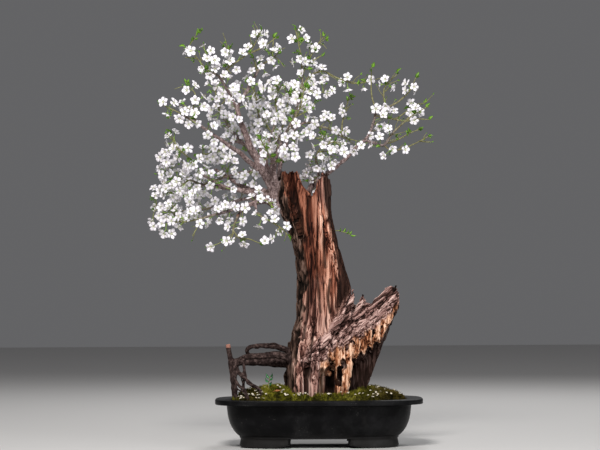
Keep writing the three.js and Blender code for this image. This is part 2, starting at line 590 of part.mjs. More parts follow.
// Each spray has its main way, side ways that leave it, and how many blossoms and leaves it bears.
const SPRAYS = {
  spray_leader: { from: 4.8, blooms: 17, leaves: 4, twigs: 3,
    ways: [[[-176, -46, 772], [-162, -40, 790], [-148, -34, 817], [-135, -30, 839], [-124, -28, 857],
      [-104, -34, 868],
      [-88, -40, 881]]] },
  spray_upper_left: { from: 3.4, blooms: 17, leaves: 11, twigs: 2,
    ways: [[[-197, -71, 790], [-218, -92, 824], [-243, -108, 837], [-272, -124, 871], [-290, -130, 886]],
      [[-218, -92, 824], [-194, -84, 848], [-173, -78, 864], [-155, -72, 878], [-140, -68, 898],
        [-126, -64, 929]],
      [[-155, -72, 878], [-135, -60, 886], [-112, -54, 900], [-92, -50, 916]]] },
  spray_left: { from: 3.8, blooms: 15, leaves: 5, twigs: 1,
    ways: [[[-232, -115, 695], [-268, -130, 719], [-304, -140, 740], [-344, -140, 760]],
      [[-268, -130, 719], [-274, -120, 752], [-270, -112, 783], [-284, -108, 801]]] },
  spray_low_left: { from: 3.8, blooms: 13, leaves: 3, twigs: 2,
    ways: [[[-225, -20, 583], [-244, -25, 584], [-263, -32, 589], [-288, -40, 598], [-324, -48, 603]]] },
  spray_low_left_back: { from: 2.2, blooms: 12, leaves: 3, twigs: 2,
    ways: [[[-219, 62, 606], [-246, 80, 600], [-270, 95, 592], [-302, 105, 585], [-344, 110, 576]]] },
  spray_mid_left: { from: 3.2, blooms: 13, leaves: 4, twigs: 2,
    ways: [[[-236, -34, 596], [-266, -55, 616], [-286, -75, 644], [-306, -88, 662], [-324, -95, 677]]] },
  spray_bottom: { from: 3.6, blooms: 14, leaves: 3, twigs: 2,
    ways: [[[-182, -50, 533], [-214, -60, 524], [-252, -68, 513], [-291, -74, 504], [-324, -78, 502]]] },
  spray_hanging: { from: 2.4, blooms: 7, leaves: 2, twigs: 0,
    ways: [[[-180, -57, 514], [-189, -63, 490], [-191, -66, 472], [-210, -72, 458]],
      [[-190, -64, 484], [-176, -60, 467], [-153, -58, 464], [-130, -58, 455]]] },
  spray_under: { from: 2.2, blooms: 5, leaves: 2, twigs: 0,
    ways: [[[-134, -44, 520], [-122, -52, 512], [-106, -56, 504], [-79, -60, 486], [-68, -62, 472]]] },
  spray_back_a: { from: 3.4, blooms: 12, leaves: 4, twigs: 2,
    ways: [[[-130, 55, 675], [-132, 75, 711], [-133, 90, 745], [-140, 100, 783], [-148, 105, 814]]] },
  spray_centre_a: { from: 3.4, blooms: 14, leaves: 4, twigs: 2,
    ways: [[[-117, -18, 659], [-114, -18, 675], [-97, -26, 718], [-92, -34, 749], [-94, -40, 783],
      [-86, -44, 814]]] },
  spray_back_b: { from: 3.4, blooms: 12, leaves: 4, twigs: 2,
    ways: [[[-101, 58, 659], [-93, 70, 682], [-86, 88, 709], [-76, 104, 740], [-63, 116, 801]]] },
  spray_centre_b: { from: 3.4, blooms: 15, leaves: 4, twigs: 2,
    ways: [[[-90, -48, 659], [-76, -66, 691], [-61, -80, 718], [-40, -92, 752], [-29, -100, 801]]] },
  spray_top: { from: 3.2, blooms: 15, leaves: 12, twigs: 1,
    ways: [[[-50, 20, 745], [-40, 16, 783], [-34, 12, 819], [-34, 10, 846], [-37, 6, 885], [-48, 2, 938]],
      [[-34, 10, 837], [-18, 20, 873], [2, 30, 909], [16, 34, 927]],
      [[-38, 15, 796], [-25, 22, 826], [-9, 30, 842], [16, 38, 848], [47, 46, 833], [92, 52, 821],
        [147, 58, 834]]] },
  spray_right_back: { from: 2.6, blooms: 11, leaves: 5, twigs: 0,
    ways: [[[-24, 50, 734], [2, 62, 724], [24, 70, 720], [59, 82, 701], [97, 90, 691]],
      [[57, 81, 703], [57, 84, 722], [61, 88, 749], [72, 90, 785]]] },
  spray_fan_low: { from: 3.4, blooms: 5, leaves: 12, twigs: 0,
    ways: [[[110, 16, 688], [130, 8, 682], [150, 2, 677], [171, -6, 704], [209, -16, 738], [245, -22, 760]],
      [[152, 1, 680], [174, 6, 686], [209, 10, 704], [230, 12, 712]],
      [[148, 3, 678], [166, 6, 666], [194, 4, 668], [214, 0, 677], [250, -4, 695]]] },
  spray_fan_high: { from: 3.0, blooms: 10, leaves: 13, twigs: 0,
    ways: [[[122, 30, 712], [130, 33, 736], [138, 36, 756], [179, 34, 774], [209, 30, 800], [225, 26, 832]],
      [[134, 35, 746], [170, 48, 740], [191, 52, 747], [222, 56, 770], [246, 58, 776]],
      [[170, 48, 740], [196, 56, 736], [227, 62, 740], [256, 66, 739]],
      [[136, 36, 752], [126, 32, 783], [123, 28, 803], [123, 24, 826], [124, 20, 855]],
      [[156, 35, 764], [151, 26, 796], [157, 22, 814], [182, 18, 839]]] },
  spray_over_trunk: { from: 2.6, blooms: 13, leaves: 3, twigs: 2,
    ways: [[[0, 10, 630], [-4, -20, 648], [9, -40, 670], [36, -52, 682]]] },
  spray_mid_back: { from: 3.2, blooms: 13, leaves: 4, twigs: 2,
    ways: [[[-184, 60, 702], [-207, 90, 734], [-225, 112, 765], [-238, 132, 832]]] },
  spray_mid_inner: { from: 2.6, blooms: 9, leaves: 3, twigs: 1,
    ways: [[[-200, 70, 688], [-220, 84, 680], [-240, 94, 666], [-259, 102, 648]]] },
  spray_low_back: { from: 3.4, blooms: 13, leaves: 3, twigs: 2,
    ways: [[[-176, 80, 558], [-212, 105, 549], [-254, 125, 540], [-299, 140, 536], [-344, 150, 538],
      [-380, 154, 538]]] },
  spray_rear: { from: 2.8, blooms: 8, leaves: 3, twigs: 0,
    ways: [[[-126, 72, 663], [-126, 90, 667], [-117, 135, 688], [-112, 168, 716]]] },
  spray_front: { from: 2.6, blooms: 8, leaves: 3, twigs: 0,
    ways: [[[-104, -62, 644], [-112, -92, 655], [-117, -120, 666], [-126, -155, 680]]] },
};

// The point at an arc length along a way, and the way's direction there.
function onWay(points, arc) {
  let left = arc;
  for (let i = 0; i + 1 < points.length; i += 1) {
    const length = points[i].distanceTo(points[i + 1]);
    if (left <= length || i + 2 === points.length) {
      const along = points[i + 1].clone().sub(points[i]).normalize();
      return { at: points[i].clone().addScaledVector(along, left), along };
    }
    left -= length;
  }
  return null;
}

function radiusAt({ points, from, to }, arc) {
  return from + ((to - from) * arc) / wayLength(points);
}

// The arc length at which a way passes nearest to a point.
function nearestArc(points, target) {
  let best = Infinity;
  let found = 0;
  const steps = 200;
  const whole = wayLength(points);
  for (let k = 0; k <= steps; k += 1) {
    const arc = (whole * k) / steps;
    const distance = onWay(points, arc).at.distanceTo(target);
    if (distance < best) {
      best = distance;
      found = arc;
    }
  }
  return found;
}

function anyDirection(draw) {
  const z = draw() * 2 - 1;
  const turn = draw() * 2 * Math.PI;
  const flat = Math.sqrt(1 - z * z);
  return new THREE.Vector3(flat * Math.cos(turn), flat * Math.sin(turn), z);
}

// Distance from a point to the stretch between two points.
function toStretch(p, a, b) {
  const along = b.clone().sub(a);
  const share = THREE.MathUtils.clamp(p.clone().sub(a).dot(along) / along.lengthSq(), 0, 1);
  return p.distanceTo(a.clone().addScaledVector(along, share));
}

// All wood of the crown as straight stretches, so that blossoms and leaves keep clear of it.
const stretches = [];
const woodSpots = [];
const blossoms = [];
const leaves = [];

function noteWood(points, from, to) {
  for (let i = 0; i + 1 < points.length; i += 1) {
    const radius = from + ((to - from) * (i + 0.5)) / (points.length - 1);
    stretches.push({ a: points[i], b: points[i + 1], radius });
  }
  const whole = wayLength(points);
  for (let arc = 0; arc <= whole; arc += WOOD_STEP) {
    woodSpots.push({ at: onWay(points, arc).at, radius: from + ((to - from) * arc) / whole });
  }
}

// Whether a blossom keeps clear of all wood.
function blossomClearOfWood(blossom) {
  return woodSpots.every((w) => !inBlossom(w.at, blossom, w.radius + 0.7));
}

// Whether points keep their distance from all wood but what lies round their own foot.
function clearOfWood(points, margin, foot, footReach) {
  return stretches.every((s) => points.every((p) => {
    const near = foot && p.distanceTo(foot) < footReach;
    return near || toStretch(p, s.a, s.b) >= s.radius + margin;
  }));
}

// A spray's given ways, each with the earlier way that it leaves and where.
function layWays(spray) {
  const ways = [];
  spray.ways.forEach((given, k) => {
    const points = given.map(V);
    const parent = k ? nearestWay(ways, points[0]) : null;
    ways.push({ points, from: k ? SIDE_WAY_RADIUS : spray.from, to: TIP_RADIUS, parent, spurs: [] });
  });
  ways.forEach((w) => noteWood(w.points, w.from, w.to));
  return ways;
}

// Twigs that leave a spray's given ways at a slant, drawn by rule.
function drawTwigs(ways, count, draw) {
  const given = ways.length;
  for (let tries = 0; tries < 400 && ways.length < given + count; tries += 1) {
    const host = ways[Math.floor(draw() * given)];
    const arc = wayLength(host.points) * (0.15 + 0.75 * draw());
    const { at, along } = onWay(host.points, arc);
    const out = anyDirection(draw).cross(along).normalize();
    const slant = along.clone().multiplyScalar(0.65).addScaledVector(out, 0.8);
    slant.z += 0.12;
    slant.normalize();
    const length = 26 + 24 * draw();
    const middle = at.clone().addScaledVector(slant, length * 0.55);
    const tip = at.clone().addScaledVector(slant, length);
    const apart = ways.every((w) => w.parent?.way !== host || Math.abs(w.parent.arc - arc) > 12);
    if (apart && clearOfWood([middle, tip], 8, at, 5)) {
      const points = [at, tip];
      ways.push({ points, from: TWIG_RADIUS, to: TIP_RADIUS, parent: { way: host, arc }, spurs: [] });
      noteWood(points, TWIG_RADIUS, TIP_RADIUS);
    }
  }
}

function nearestWay(ways, target) {
  let best = null;
  ways.forEach((way) => {
    const arc = nearestArc(way.points, target);
    const distance = onWay(way.points, arc).at.distanceTo(target);
    if (!best || distance < best.distance) {
      best = { way, arc, distance };
    }
  });
  return best;
}

// Spurs stand at even steps along all the ways of a spray.
function setSpurs(ways, count, draw) {
  const free = ways.map((w) => Math.max(wayLength(w.points) - 2 * SPUR_CLEAR, 4));
  const whole = free.reduce((sum, l) => sum + l, 0);
  for (let k = 0; k < count; k += 1) {
    let left = ((k + 0.25 + 0.5 * draw()) / count) * whole;
    let pick = 0;
    while (left > free[pick] && pick + 1 < ways.length) {
      left -= free[pick];
      pick += 1;
    }
    const way = ways[pick];
    const arc = SPUR_CLEAR + left;
    const forks = ways.filter((w) => w.parent?.way === way).map((w) => w.parent.arc);
    const taken = [...way.spurs.map((s) => s.arc), ...forks];
    if (taken.every((other) => Math.abs(other - arc) > SPUR_APART)) {
      const { at, along } = onWay(way.points, arc);
      way.spurs.push({ arc, at, along, radius: radiusAt(way, arc), grown: [] });
    }
  }
}

// Points round a blossom's rim and on its stalk, to test what it would touch.
function rimOf({ centre, face, turn, radius }) {
  const { side, other } = acrossOf(face);
  const rim = [];
  for (let k = 0; k < 10; k += 1) {
    const angle = turn + (2 * Math.PI * k) / 10;
    const reach = k % 2 ? radius * BLOOM_NOTCH : radius;
    const lift = k % 2 ? 0.06 * radius : BLOOM_LIFT * radius;
    rim.push(centre.clone()
      .addScaledVector(side, reach * Math.cos(angle))
      .addScaledVector(other, reach * Math.sin(angle))
      .addScaledVector(face, lift));
  }
  return rim;
}

// Points over a blossom, closer set than its corners: the rim, between its corners, and half way in.
function testSpots({ rim, centre }) {
  const between = rim.map((p, k) => p.clone().lerp(rim[(k + 1) % 10], 0.5));
  const inner = rim.map((p) => p.clone().lerp(centre, 0.5));
  return [...rim, ...between, ...inner, centre];
}

function acrossOf(face) {
  const side = new THREE.Vector3(0.2, 0.5, 0.9).cross(face).normalize();
  return { side, other: face.clone().cross(side) };
}

function inBlossom(p, blossom, margin) {
  const offset = p.clone().sub(blossom.centre);
  const height = offset.dot(blossom.face);
  if (height < -NECK_DEPTH - margin || height > BLOOM_LIFT * blossom.radius + margin) {
    return false;
  }
  return offset.lengthSq() - height * height < (blossom.radius + margin) ** 2;
}

function stalkPoints({ base, centre, face }) {
  const neck = centre.clone().addScaledVector(face, -NECK_DEPTH);
  return [0.3, 0.5, 0.75, 1].map((share) => base.clone().lerp(neck, share));
}

function clearOfBlossoms(blossom) {
  const mine = blossom.spots;
  return blossoms.every((other) => {
    if (other.centre.distanceTo(blossom.centre) > other.radius + blossom.radius + PEDICEL_LONG) {
      return true;
    }
    const touches = mine.some((p) => inBlossom(p, other, 0.8))
      || other.spots.some((p) => inBlossom(p, blossom, 0.8))
      || blossom.stalk.some((p) => inBlossom(p, other, 1.4))
      || other.stalk.some((p) => inBlossom(p, blossom, 1.4))
      || crossing(blossom, other);
    return !touches;
  });
}

// Whether two stalks come too near each other away from a common spur.
function crossing(one, two) {
  const neck = one.stalk[3];
  return one.base.distanceTo(two.base) > 6 && two.stalk.some((p) => toStretch(p, one.base, neck) < 2.4);
}

// Blossoms stand on their stalks in bunches at the spurs, turned outwards and a little to the front.
function setBlossoms(ways, count, draw) {
  const spurs = ways.flatMap((w) => w.spurs);
  let set = 0;
  for (let tries = 0; tries < count * 90 && set < count; tries += 1) {
    const spur = spurs[tries % spurs.length];
    const out = anyDirection(draw);
    out.y -= 0.3;
    out.normalize();
    const length = spur.radius + PEDICEL_SHORT + (PEDICEL_LONG - PEDICEL_SHORT) * draw();
    const centre = spur.at.clone().addScaledVector(out, length);
    const face = out.clone().addScaledVector(anyDirection(draw), 0.45);
    face.y -= 0.35;
    face.normalize();
    const turn = draw() * 2 * Math.PI;
    const radius = BLOOM_RADIUS * (0.9 + 0.2 * draw());
    const fits = spur.grown.length < SPUR_HOLDS
      && Math.abs(out.dot(spur.along)) < 0.75
      && face.dot(out) > 0.5
      && spur.grown.every((g) => g.out.dot(out) < 0.55);
    if (fits) {
      const blossom = { base: spur.at, centre, face, turn, radius, out };
      blossom.rim = rimOf(blossom);
      blossom.spots = testSpots(blossom);
      blossom.stalk = stalkPoints(blossom);
      const clear = blossomClearOfWood(blossom) && clearOfBlossoms(blossom)
        && clearOfWood(blossom.stalk, 1.2, spur.at, 5.5);
      if (clear) {
        blossoms.push(blossom);
        spur.grown.push({ out, blossom });
        set += 1;
      }
    }
  }
}

// Young leaves at the tips and at the spurs.
function setLeaves(ways, count, draw) {
  const tips = ways.map((w) => {
    const { at, along } = onWay(w.points, wayLength(w.points));
    return { at, along, radius: 0, grown: [], tip: true };
  });
  ways.forEach((w, k) => {
    w.tip = tips[k];
  });
  const places = [...tips, ...tips, ...ways.flatMap((w) => w.spurs)];
  let set = 0;
  for (let tries = 0; tries < count * 90 && set < count; tries += 1) {
    const place = places[Math.floor(draw() * places.length)];
    const out = anyDirection(draw).addScaledVector(place.along, place.tip ? 1.2 : 0.4);
    out.z += 0.3;
    out.normalize();
    const length = LEAF_LENGTH * (0.75 + 0.5 * draw());
    const flat = anyDirection(draw).cross(out).normalize();
    const slope = out.dot(place.along);
    const fits = (place.tip ? slope > 0.45 && place.grown.length < 1 : Math.abs(slope) < 0.75)
      && place.grown.length < SPUR_HOLDS
      && place.grown.every((g) => g.out.dot(out) < 0.6);
    if (fits) {
      const foot = place.at.clone().addScaledVector(out, place.radius);
      const spots = [0.3, 0.5, 0.75, 1].map((share) => foot.clone().addScaledVector(out, length * share));
      const middle = spots[1];
      const clear = clearOfWood(spots.slice(1), 3.5, place.at, 5)
        && blossoms.every((b) => spots.every((p) => !inBlossom(p, b, 3.6)))
        && blossoms.every((b) => b.stalk.slice(1).every((p) => p.distanceTo(middle) > 5.5))
        && leaves.every((l) => l.middle.distanceTo(middle) > 7);
      if (clear) {
        const leaf = { foot, out, flat, length, middle };
        leaves.push(leaf);
        place.grown.push({ out, leaf });
        set += 1;
      }
    }
  }
}

// Whether the stretch from p to q goes through a triangle, away from the triangle's edges.
function pierces(p, q, [a, b, c]) {
  const along = q.clone().sub(p);
  const one = b.clone().sub(a);
  const two = c.clone().sub(a);
  const cross = along.clone().cross(two);
  const scale = one.dot(cross);
  if (Math.abs(scale) < 1e-9) {
    return false;
  }
  const offset = p.clone().sub(a);
  const u = offset.dot(cross) / scale;
  const turned = offset.clone().cross(one);
  const v = along.dot(turned) / scale;
  const share = two.dot(turned) / scale;
  const edge = 1e-5;
  return u > edge && v > edge && u + v < 1 - edge && share > edge && share < 1 - edge;
}

// A mesh that grows: a tube of wood, and on its small faces at the spurs, whatever grows there
class Growth {
  constructor() {
    this.points = [];
    this.faces = [];
  }

  add(list) {
    const first = this.points.length;
    this.points.push(...list);
    return list.map((_, k) => first + k);
  }

  // Joins a lower loop to an upper one, both running the same way round, by their angles about an axis.
  zip(lower, upper, axis) {
    const { side, other } = acrossOf(axis);
    const full = 2 * Math.PI;
    const anglesOf = (loop) => {
      const middle = this.middle(loop);
      return loop.map((index) => {
        const offset = this.points[index].clone().sub(middle);
        return Math.atan2(offset.dot(other), offset.dot(side));
      });
    };
    const turned = (angle) => ((angle % full) + full) % full;
    const low = anglesOf(lower);
    const high = anglesOf(upper);
    const apart = low.map((angle) => Math.min(turned(angle - high[0]), turned(high[0] - angle)));
    const first = apart.indexOf(Math.min(...apart));
    const atLow = (k) => (first + k) % lower.length;
    let a = 0;
    let b = 0;
    let lowTurn = 0;
    let highTurn = 0;
    while (a < lower.length || b < upper.length) {
      const lowNext = lowTurn + turned(low[atLow(a + 1)] - low[atLow(a)]);
      const highNext = highTurn + turned(high[(b + 1) % upper.length] - high[b % upper.length]);
      const corner = [lower[atLow(a)], upper[b % upper.length]];
      if (b === upper.length || (a < lower.length && lowNext <= highNext)) {
        this.faces.push([corner[0], lower[atLow(a + 1)], corner[1]]);
        lowTurn = lowNext;
        a += 1;
      } else {
        this.faces.push([corner[0], upper[(b + 1) % upper.length], corner[1]]);
        highTurn = highNext;
        b += 1;
      }
    }
  }

  wall(lower, upper) {
    const quads = lower.map((a, k) => {
      const b = lower[(k + 1) % lower.length];
      const c = upper[(k + 1) % upper.length];
      return [[a, b, c], [a, c, upper[k]]];
    });
    quads.forEach((pair) => this.faces.push(...pair));
    return quads;
  }

  normal(face) {
    const [a, b, c] = face.map((index) => this.points[index]);
    return b.clone().sub(a).cross(c.clone().sub(a)).normalize();
  }

  middle(face) {
    const sum = face.reduce((total, index) => total.add(this.points[index]), new THREE.Vector3());
    return sum.divideScalar(face.length);
  }

  // Gives each direction a small face of its own out of the given quads: the set that fits best together.
  share(quads, at, outs) {
    const free = quads.flat().filter((face) => this.faces.includes(face));
    const worth = outs.map((out) => free.map((face) => {
      const facing = this.normal(face).dot(out);
      const standing = this.middle(face).sub(at).normalize().dot(out);
      return facing > FACING_LEAST ? facing + standing : -NO_FACE_LOSS;
    }));
    let best = { sum: -Infinity };
    const pickFrom = (k, sum, picks) => {
      if (k === outs.length) {
        best = sum > best.sum ? { sum, picks } : best;
        return;
      }
      free.forEach((_, f) => {
        if (!picks.includes(f) && worth[k][f] > -NO_FACE_LOSS) {
          pickFrom(k + 1, sum + worth[k][f], [...picks, f]);
        }
      });
      pickFrom(k + 1, sum - NO_FACE_LOSS, [...picks, -1]);
    };
    pickFrom(0, 0, []);
    return best.picks.map((f) => {
      if (f >= 0) {
        this.faces.splice(this.faces.indexOf(free[f]), 1);
      }
      return f >= 0 ? free[f] : null;
    });
  }

  // The direction across an axis for the first corner of a ring, so that the ring lies over a face's corners.
  over(face, axis) {
    const { side, other } = acrossOf(axis);
    const middle = this.middle(face);
    const sum = face.reduce(([x, y], index, k) => {
      const offset = this.points[index].clone().sub(middle);
      const angle = Math.atan2(offset.dot(other), offset.dot(side)) - (2 * Math.PI * k) / face.length;
      const weight = Math.hypot(offset.dot(other), offset.dot(side));
      return [x + weight * Math.cos(angle), y + weight * Math.sin(angle)];
    }, [0, 0]);
    return side.multiplyScalar(sum[0]).addScaledVector(other, sum[1]).normalize();
  }

  // A tube along a way, from a cap or out of a face, with a pair of close rings at each spur.
  tube(way, sides, face, seat) {
    const { points, from, to } = way;
    const whole = wayLength(points);
    const marks = [...way.spurs.map((s) => s.arc), ...way.forks.map((f) => f.arc)];
    const arcs = [];
    let done = 0;
    points.forEach((p, i) => {
      done += i ? p.distanceTo(points[i - 1]) : 0;
      if (marks.every((m) => Math.abs(m - done) > 4)) {
        arcs.push({ arc: done });
      }
    });
    marks.forEach((m) => arcs.push({ arc: m - SPUR_WIDTH / 2, opens: m }, { arc: m + SPUR_WIDTH / 2 }));
    arcs.sort((a, b) => a.arc - b.arc);
    if (face) {
      arcs.shift();
      const { way: host, arc } = way.parent;
      const slope = onWay(host.points, arc).along.dot(onWay(points, 0).along);
      const lean = Math.max(Math.sqrt(1 - slope * slope), FORK_LEAN_LEAST);
      const clear = (radiusAt(host, arc) + from + FORK_CLEAR) / lean;
      while (arcs.length > 1 && arcs[0].arc < clear + 1 && arcs[0].opens === undefined) {
        arcs.shift();
      }
      if (arcs[0].arc > clear + 1) {
        arcs.unshift({ arc: clear });
      }
    }
    let side = new THREE.Vector3(0.31, 0.87, 0.38);
    let lower = face;
    const quadsAt = new Map();
    arcs.forEach(({ arc }, i) => {
      const before = onWay(points, Math.max(arc - BEND_REACH, 0)).at;
      const after = onWay(points, Math.min(arc + BEND_REACH, whole)).at;
      const start = !face && i === 0;
      const along = start && seat ? seat : after.sub(before).normalize();
      side = face && i === 0 ? this.over(face, along) : side.clone();
      side.addScaledVector(along, -side.dot(along)).normalize();
      const radius = from + (to - from) * (arc / whole);
      const centre = onWay(points, arc).at;
      if (start && seat) {
        centre.addScaledVector(seat, GAP);
      }
      const ring = this.add(polygon(centre, side, along.clone().cross(side), radius, sides));
      if (lower) {
        const quads = this.wall(lower, ring);
        const opened = arcs[i - 1]?.opens;
        if (opened !== undefined) {
          quadsAt.set(opened, quads);
        }
      } else {
        for (let k = 1; k + 1 < sides; k += 1) {
          this.faces.push([ring[0], ring[k + 1], ring[k]]);
        }
      }
      lower = ring;
    });
    const cap = [];
    for (let k = 1; k + 1 < sides; k += 1) {
      cap.push([lower[0], lower[k], lower[k + 1]]);
    }
    this.faces.push(...cap);
    return { quadsAt, cap };
  }

  // Grows an item out of a face. Where it would cross what has grown already, it is left out.
  item(face, grow) {
    const first = this.faces.length;
    grow();
    const fresh = this.faces.slice(first);
    const crosses = fresh.some((one) => this.faces.some((two) => one !== two && this.cross(one, two)));
    if (crosses) {
      this.faces.length = first;
      this.faces.push(face);
    }
  }

  // Whether an edge of one of two faces goes through the other face.
  cross(one, two) {
    if (one.filter((index) => two.includes(index)).length > 1) {
      return false;
    }
    const a = one.map((index) => this.points[index]);
    const b = two.map((index) => this.points[index]);
    const apart = ['x', 'y', 'z'].some((axis) => {
      const [low, high] = [a, b].map((face) => face.map((p) => p[axis]));
      return Math.max(...low) < Math.min(...high) || Math.max(...high) < Math.min(...low);
    });
    return !apart && [0, 1, 2].some((k) => {
      const next = (k + 1) % 3;
      return pierces(a[k], a[next], b) || pierces(b[k], b[next], a);
    });
  }

  // A blossom of five petals, cupped, with its stalk: petal tips and notches by turns round the rim.
  blossom(face, blossom) {
    const { centre, rim } = blossom;
    const neckCentre = centre.clone().addScaledVector(blossom.face, -NECK_DEPTH);
    const side = this.over(face, blossom.face);
    const other = blossom.face.clone().cross(side);
    const neck = this.add(polygon(neckCentre, side, other, PEDICEL_RADIUS * 1.3, 3));
    this.zip(face, neck, blossom.face);
    const petals = this.add(rim);
    this.zip(neck, petals, blossom.face);
    const notch = [1, 3, 5, 7, 9].map((k) => petals[k]);
    for (let k = 1; k < 4; k += 1) {
      this.faces.push([notch[0], notch[k], notch[k + 1]]);
    }
    for (let k = 0; k < 5; k += 1) {
      this.faces.push([notch[(k + 4) % 5], petals[2 * k], notch[k]]);
    }
  }

  // A leaf blade, thickest along its rib.
  leaf(face, { foot, out, flat, length }) {
    const up = out.clone().cross(flat).normalize();
    const wide = (LEAF_WIDTH / 2) * (length / LEAF_LENGTH);
    const waist = foot.clone().addScaledVector(out, length * 0.45);
    const loop = this.add([
      waist.clone().addScaledVector(flat, wide),
      waist.clone().addScaledVector(up, LEAF_THICKNESS * 0.9),
      waist.clone().addScaledVector(flat, -wide),
      waist.clone().addScaledVector(up, -LEAF_THICKNESS * 0.4),
    ]);
    const [tip] = this.add([foot.clone().addScaledVector(out, length)]);
    this.zip(face, loop, out);
    loop.forEach((a, k) => this.faces.push([a, loop[(k + 1) % 4], tip]));
  }
}

function growItems(growth, quads, { at, grown }) {
  const faces = growth.share(quads, at, grown.map((item) => item.out));
  grown.forEach((item, k) => {
    if (faces[k]) {
      growth.item(faces[k], () => {
        if (item.blossom) {
          growth.blossom(faces[k], item.blossom);
        } else {
          growth.leaf(faces[k], item.leaf);
        }
      });
    }
  });
}

function growWay(growth, way, ways, sides, face, seat) {
  way.forks = ways.filter((w) => w.parent?.way === way)
    .map((w) => ({ arc: w.parent.arc, way: w }));
  const { quadsAt, cap } = growth.tube(way, sides, face, seat);
  way.forks.forEach((fork) => {
    const out = onWay(fork.way.points, 0).along;
    const [open] = growth.share(quadsAt.get(fork.arc), onWay(way.points, fork.arc).at, [out]);
    if (open) {
      growWay(growth, fork.way, ways, 3, open, null);
    }
  });
  way.spurs.forEach((spur) => growItems(growth, quadsAt.get(spur.arc), spur));
  growItems(growth, [cap], way.tip);
}

function spraySolid(ways) {
  const growth = new Growth();
  const start = ways[0].points[0];
  const limb = LIMBS.find((l) => V(l.way[l.way.length - 1]).distanceTo(start) < 0.01);
  const [before, end] = limb.way.slice(-2).map(V);
  growWay(growth, ways[0], ways, 4, null, end.sub(before).normalize());
  const used = new Map();
  growth.faces.flat().forEach((index) => used.set(index, used.get(index) ?? used.size));
  const points = [...used.keys()].map((index) => growth.points[index]);
  return solid(points, growth.faces.map((face) => face.map((index) => used.get(index))));
}

function addCrown() {
  LIMBS.forEach((l) => noteWood(l.way.map(V), l.from, l.to));
  noteWood(PRONG.way.map(V), PRONG.from, PRONG.to);
  const names = Object.keys(SPRAYS);
  const laid = names.map((name) => layWays(SPRAYS[name]));
  names.forEach((name, k) => drawTwigs(laid[k], SPRAYS[name].twigs, dice(1000 + k)));
  names.forEach((name, k) => {
    const draw = dice(2000 + k);
    setSpurs(laid[k], Math.ceil(SPRAYS[name].blooms / BLOOMS_PER_SPUR), draw);
    setBlossoms(laid[k], SPRAYS[name].blooms, draw);
  });
  names.forEach((name, k) => setLeaves(laid[k], SPRAYS[name].leaves, dice(3000 + k)));
  names.forEach((name, k) => addNode(name, spraySolid(laid[k]), 0xf2eef4, 0.6));
}

// Small green things: the shoot on the back of the trunk, and the seedling and the dried leaf under the roots

// A leaf blade by itself: a pointed oval, thickest along its rib.
function leafSolid({ at, out, flat, length }) {
  const wide = flat.clone().multiplyScalar((LEAF_WIDTH / 2) * (length / LEAF_LENGTH));
  const up = out.clone().cross(flat).normalize().multiplyScalar(LEAF_THICKNESS / 2);
  const spot = (share, across) => at.clone()
    .addScaledVector(out, length * share)
    .addScaledVector(wide, across);
  const rim = [spot(0, 0.12), spot(0.35, 1), spot(0.72, 0.7), spot(1, 0), spot(0.72, -0.7), spot(0.35, -1),
    spot(0, -0.12)];
  const points = [...rim, spot(0.45, 0).add(up), spot(0.45, 0).sub(up)];
  const faces = rim.flatMap((_, k) => [[7, k, (k + 1) % 7], [8, (k + 1) % 7, k]]);
  return solid(points, faces);
}

function shootSolid(stem, leafSpots) {
  const leafOf = ([x, y, z, toX, toY, toZ]) => {
    const at = new THREE.Vector3(x, y, z);
    const along = new THREE.Vector3(toX, toY, toZ);
    const out = along.clone().normalize();
    const flat = out.clone().cross(new THREE.Vector3(0.1, -0.6, 0.8)).normalize();
    return leafSolid({ at, out, flat, length: along.length() });
  };
  return fuse([tube(stem, 1.6, 1, 4), ...leafSpots.map(leafOf)]);
}

const TRUNK_SHOOT = {
  stem: [[20, 30, 476], [40, 46, 485], [58, 50, 482], [74, 52, 476]],
  leaves: [[48, 48, 484, 4, -6, 9], [58, 50, 482, 6, 6, 9], [64, 51, 479, 7, -5, 8], [74, 52, 476, 12, 2, -3],
    [70, 52, 478, 8, 5, 6]],
};

const SEEDLING = {
  stem: [[-112, -48, 108], [-112, -48, 140], [-111, -50, 150], [-109, -52, 158]],
  leaves: [[-111.4, -49.2, 146, -9, -3, 9], [-111, -50, 150, 10, -2, 7], [-109, -52, 157, 5, -6, 10],
    [-110, -51, 154, -8, 4, 9], [-112, -48, 139, 6, 8, 6]],
};

// The dried leaf is let down until it touches the moss, and lies a gap above that.
function driedLeafSolid(moss) {
  const out = new THREE.Vector3(1, -0.1, 0.08).normalize();
  const flat = out.clone().cross(new THREE.Vector3(0, -0.25, 1)).normalize();
  const lying = (z) => leafSolid({ at: new THREE.Vector3(-104, -62, z), out, flat, length: 27 });
  let height = 145;
  while (lying(height).intersect(moss).isEmpty()) {
    height -= GAP / 2;
  }
  return lying(height + GAP);
}

const trunk = trunkSolid(0);
const grownTrunk = trunkSolid(GAP);
const moss = largest(mossSolid().subtract(groundCutter()));

addNode('pot', potSolid(), 0x1d1e20, 0.5);
addNode('drain_screen_left', screenSolid(-DRAIN_X), 0x2a2c2a, 0.7);
addNode('drain_screen_right', screenSolid(DRAIN_X), 0x2a2c2a, 0.7);
addNode('soil', largest(soilSolid().subtract(groundCutter())), 0x2f231a, 0.95);
addNode('moss', moss, 0x6d8a24, 0.95);
addNode('trunk', largest(trunk), 0x6d4636, 0.85);
const trunkShoot = shootSolid(TRUNK_SHOOT.stem, TRUNK_SHOOT.leaves).subtract(grownTrunk);
addNode('trunk_shoot', largest(trunkShoot), 0x7f9a3c, 0.6);
addNode('seedling', shootSolid(SEEDLING.stem, SEEDLING.leaves), 0x6fa52c, 0.6);
addNode('dried_leaf', driedLeafSolid(moss), 0xb5602a, 0.8);
addCrown();

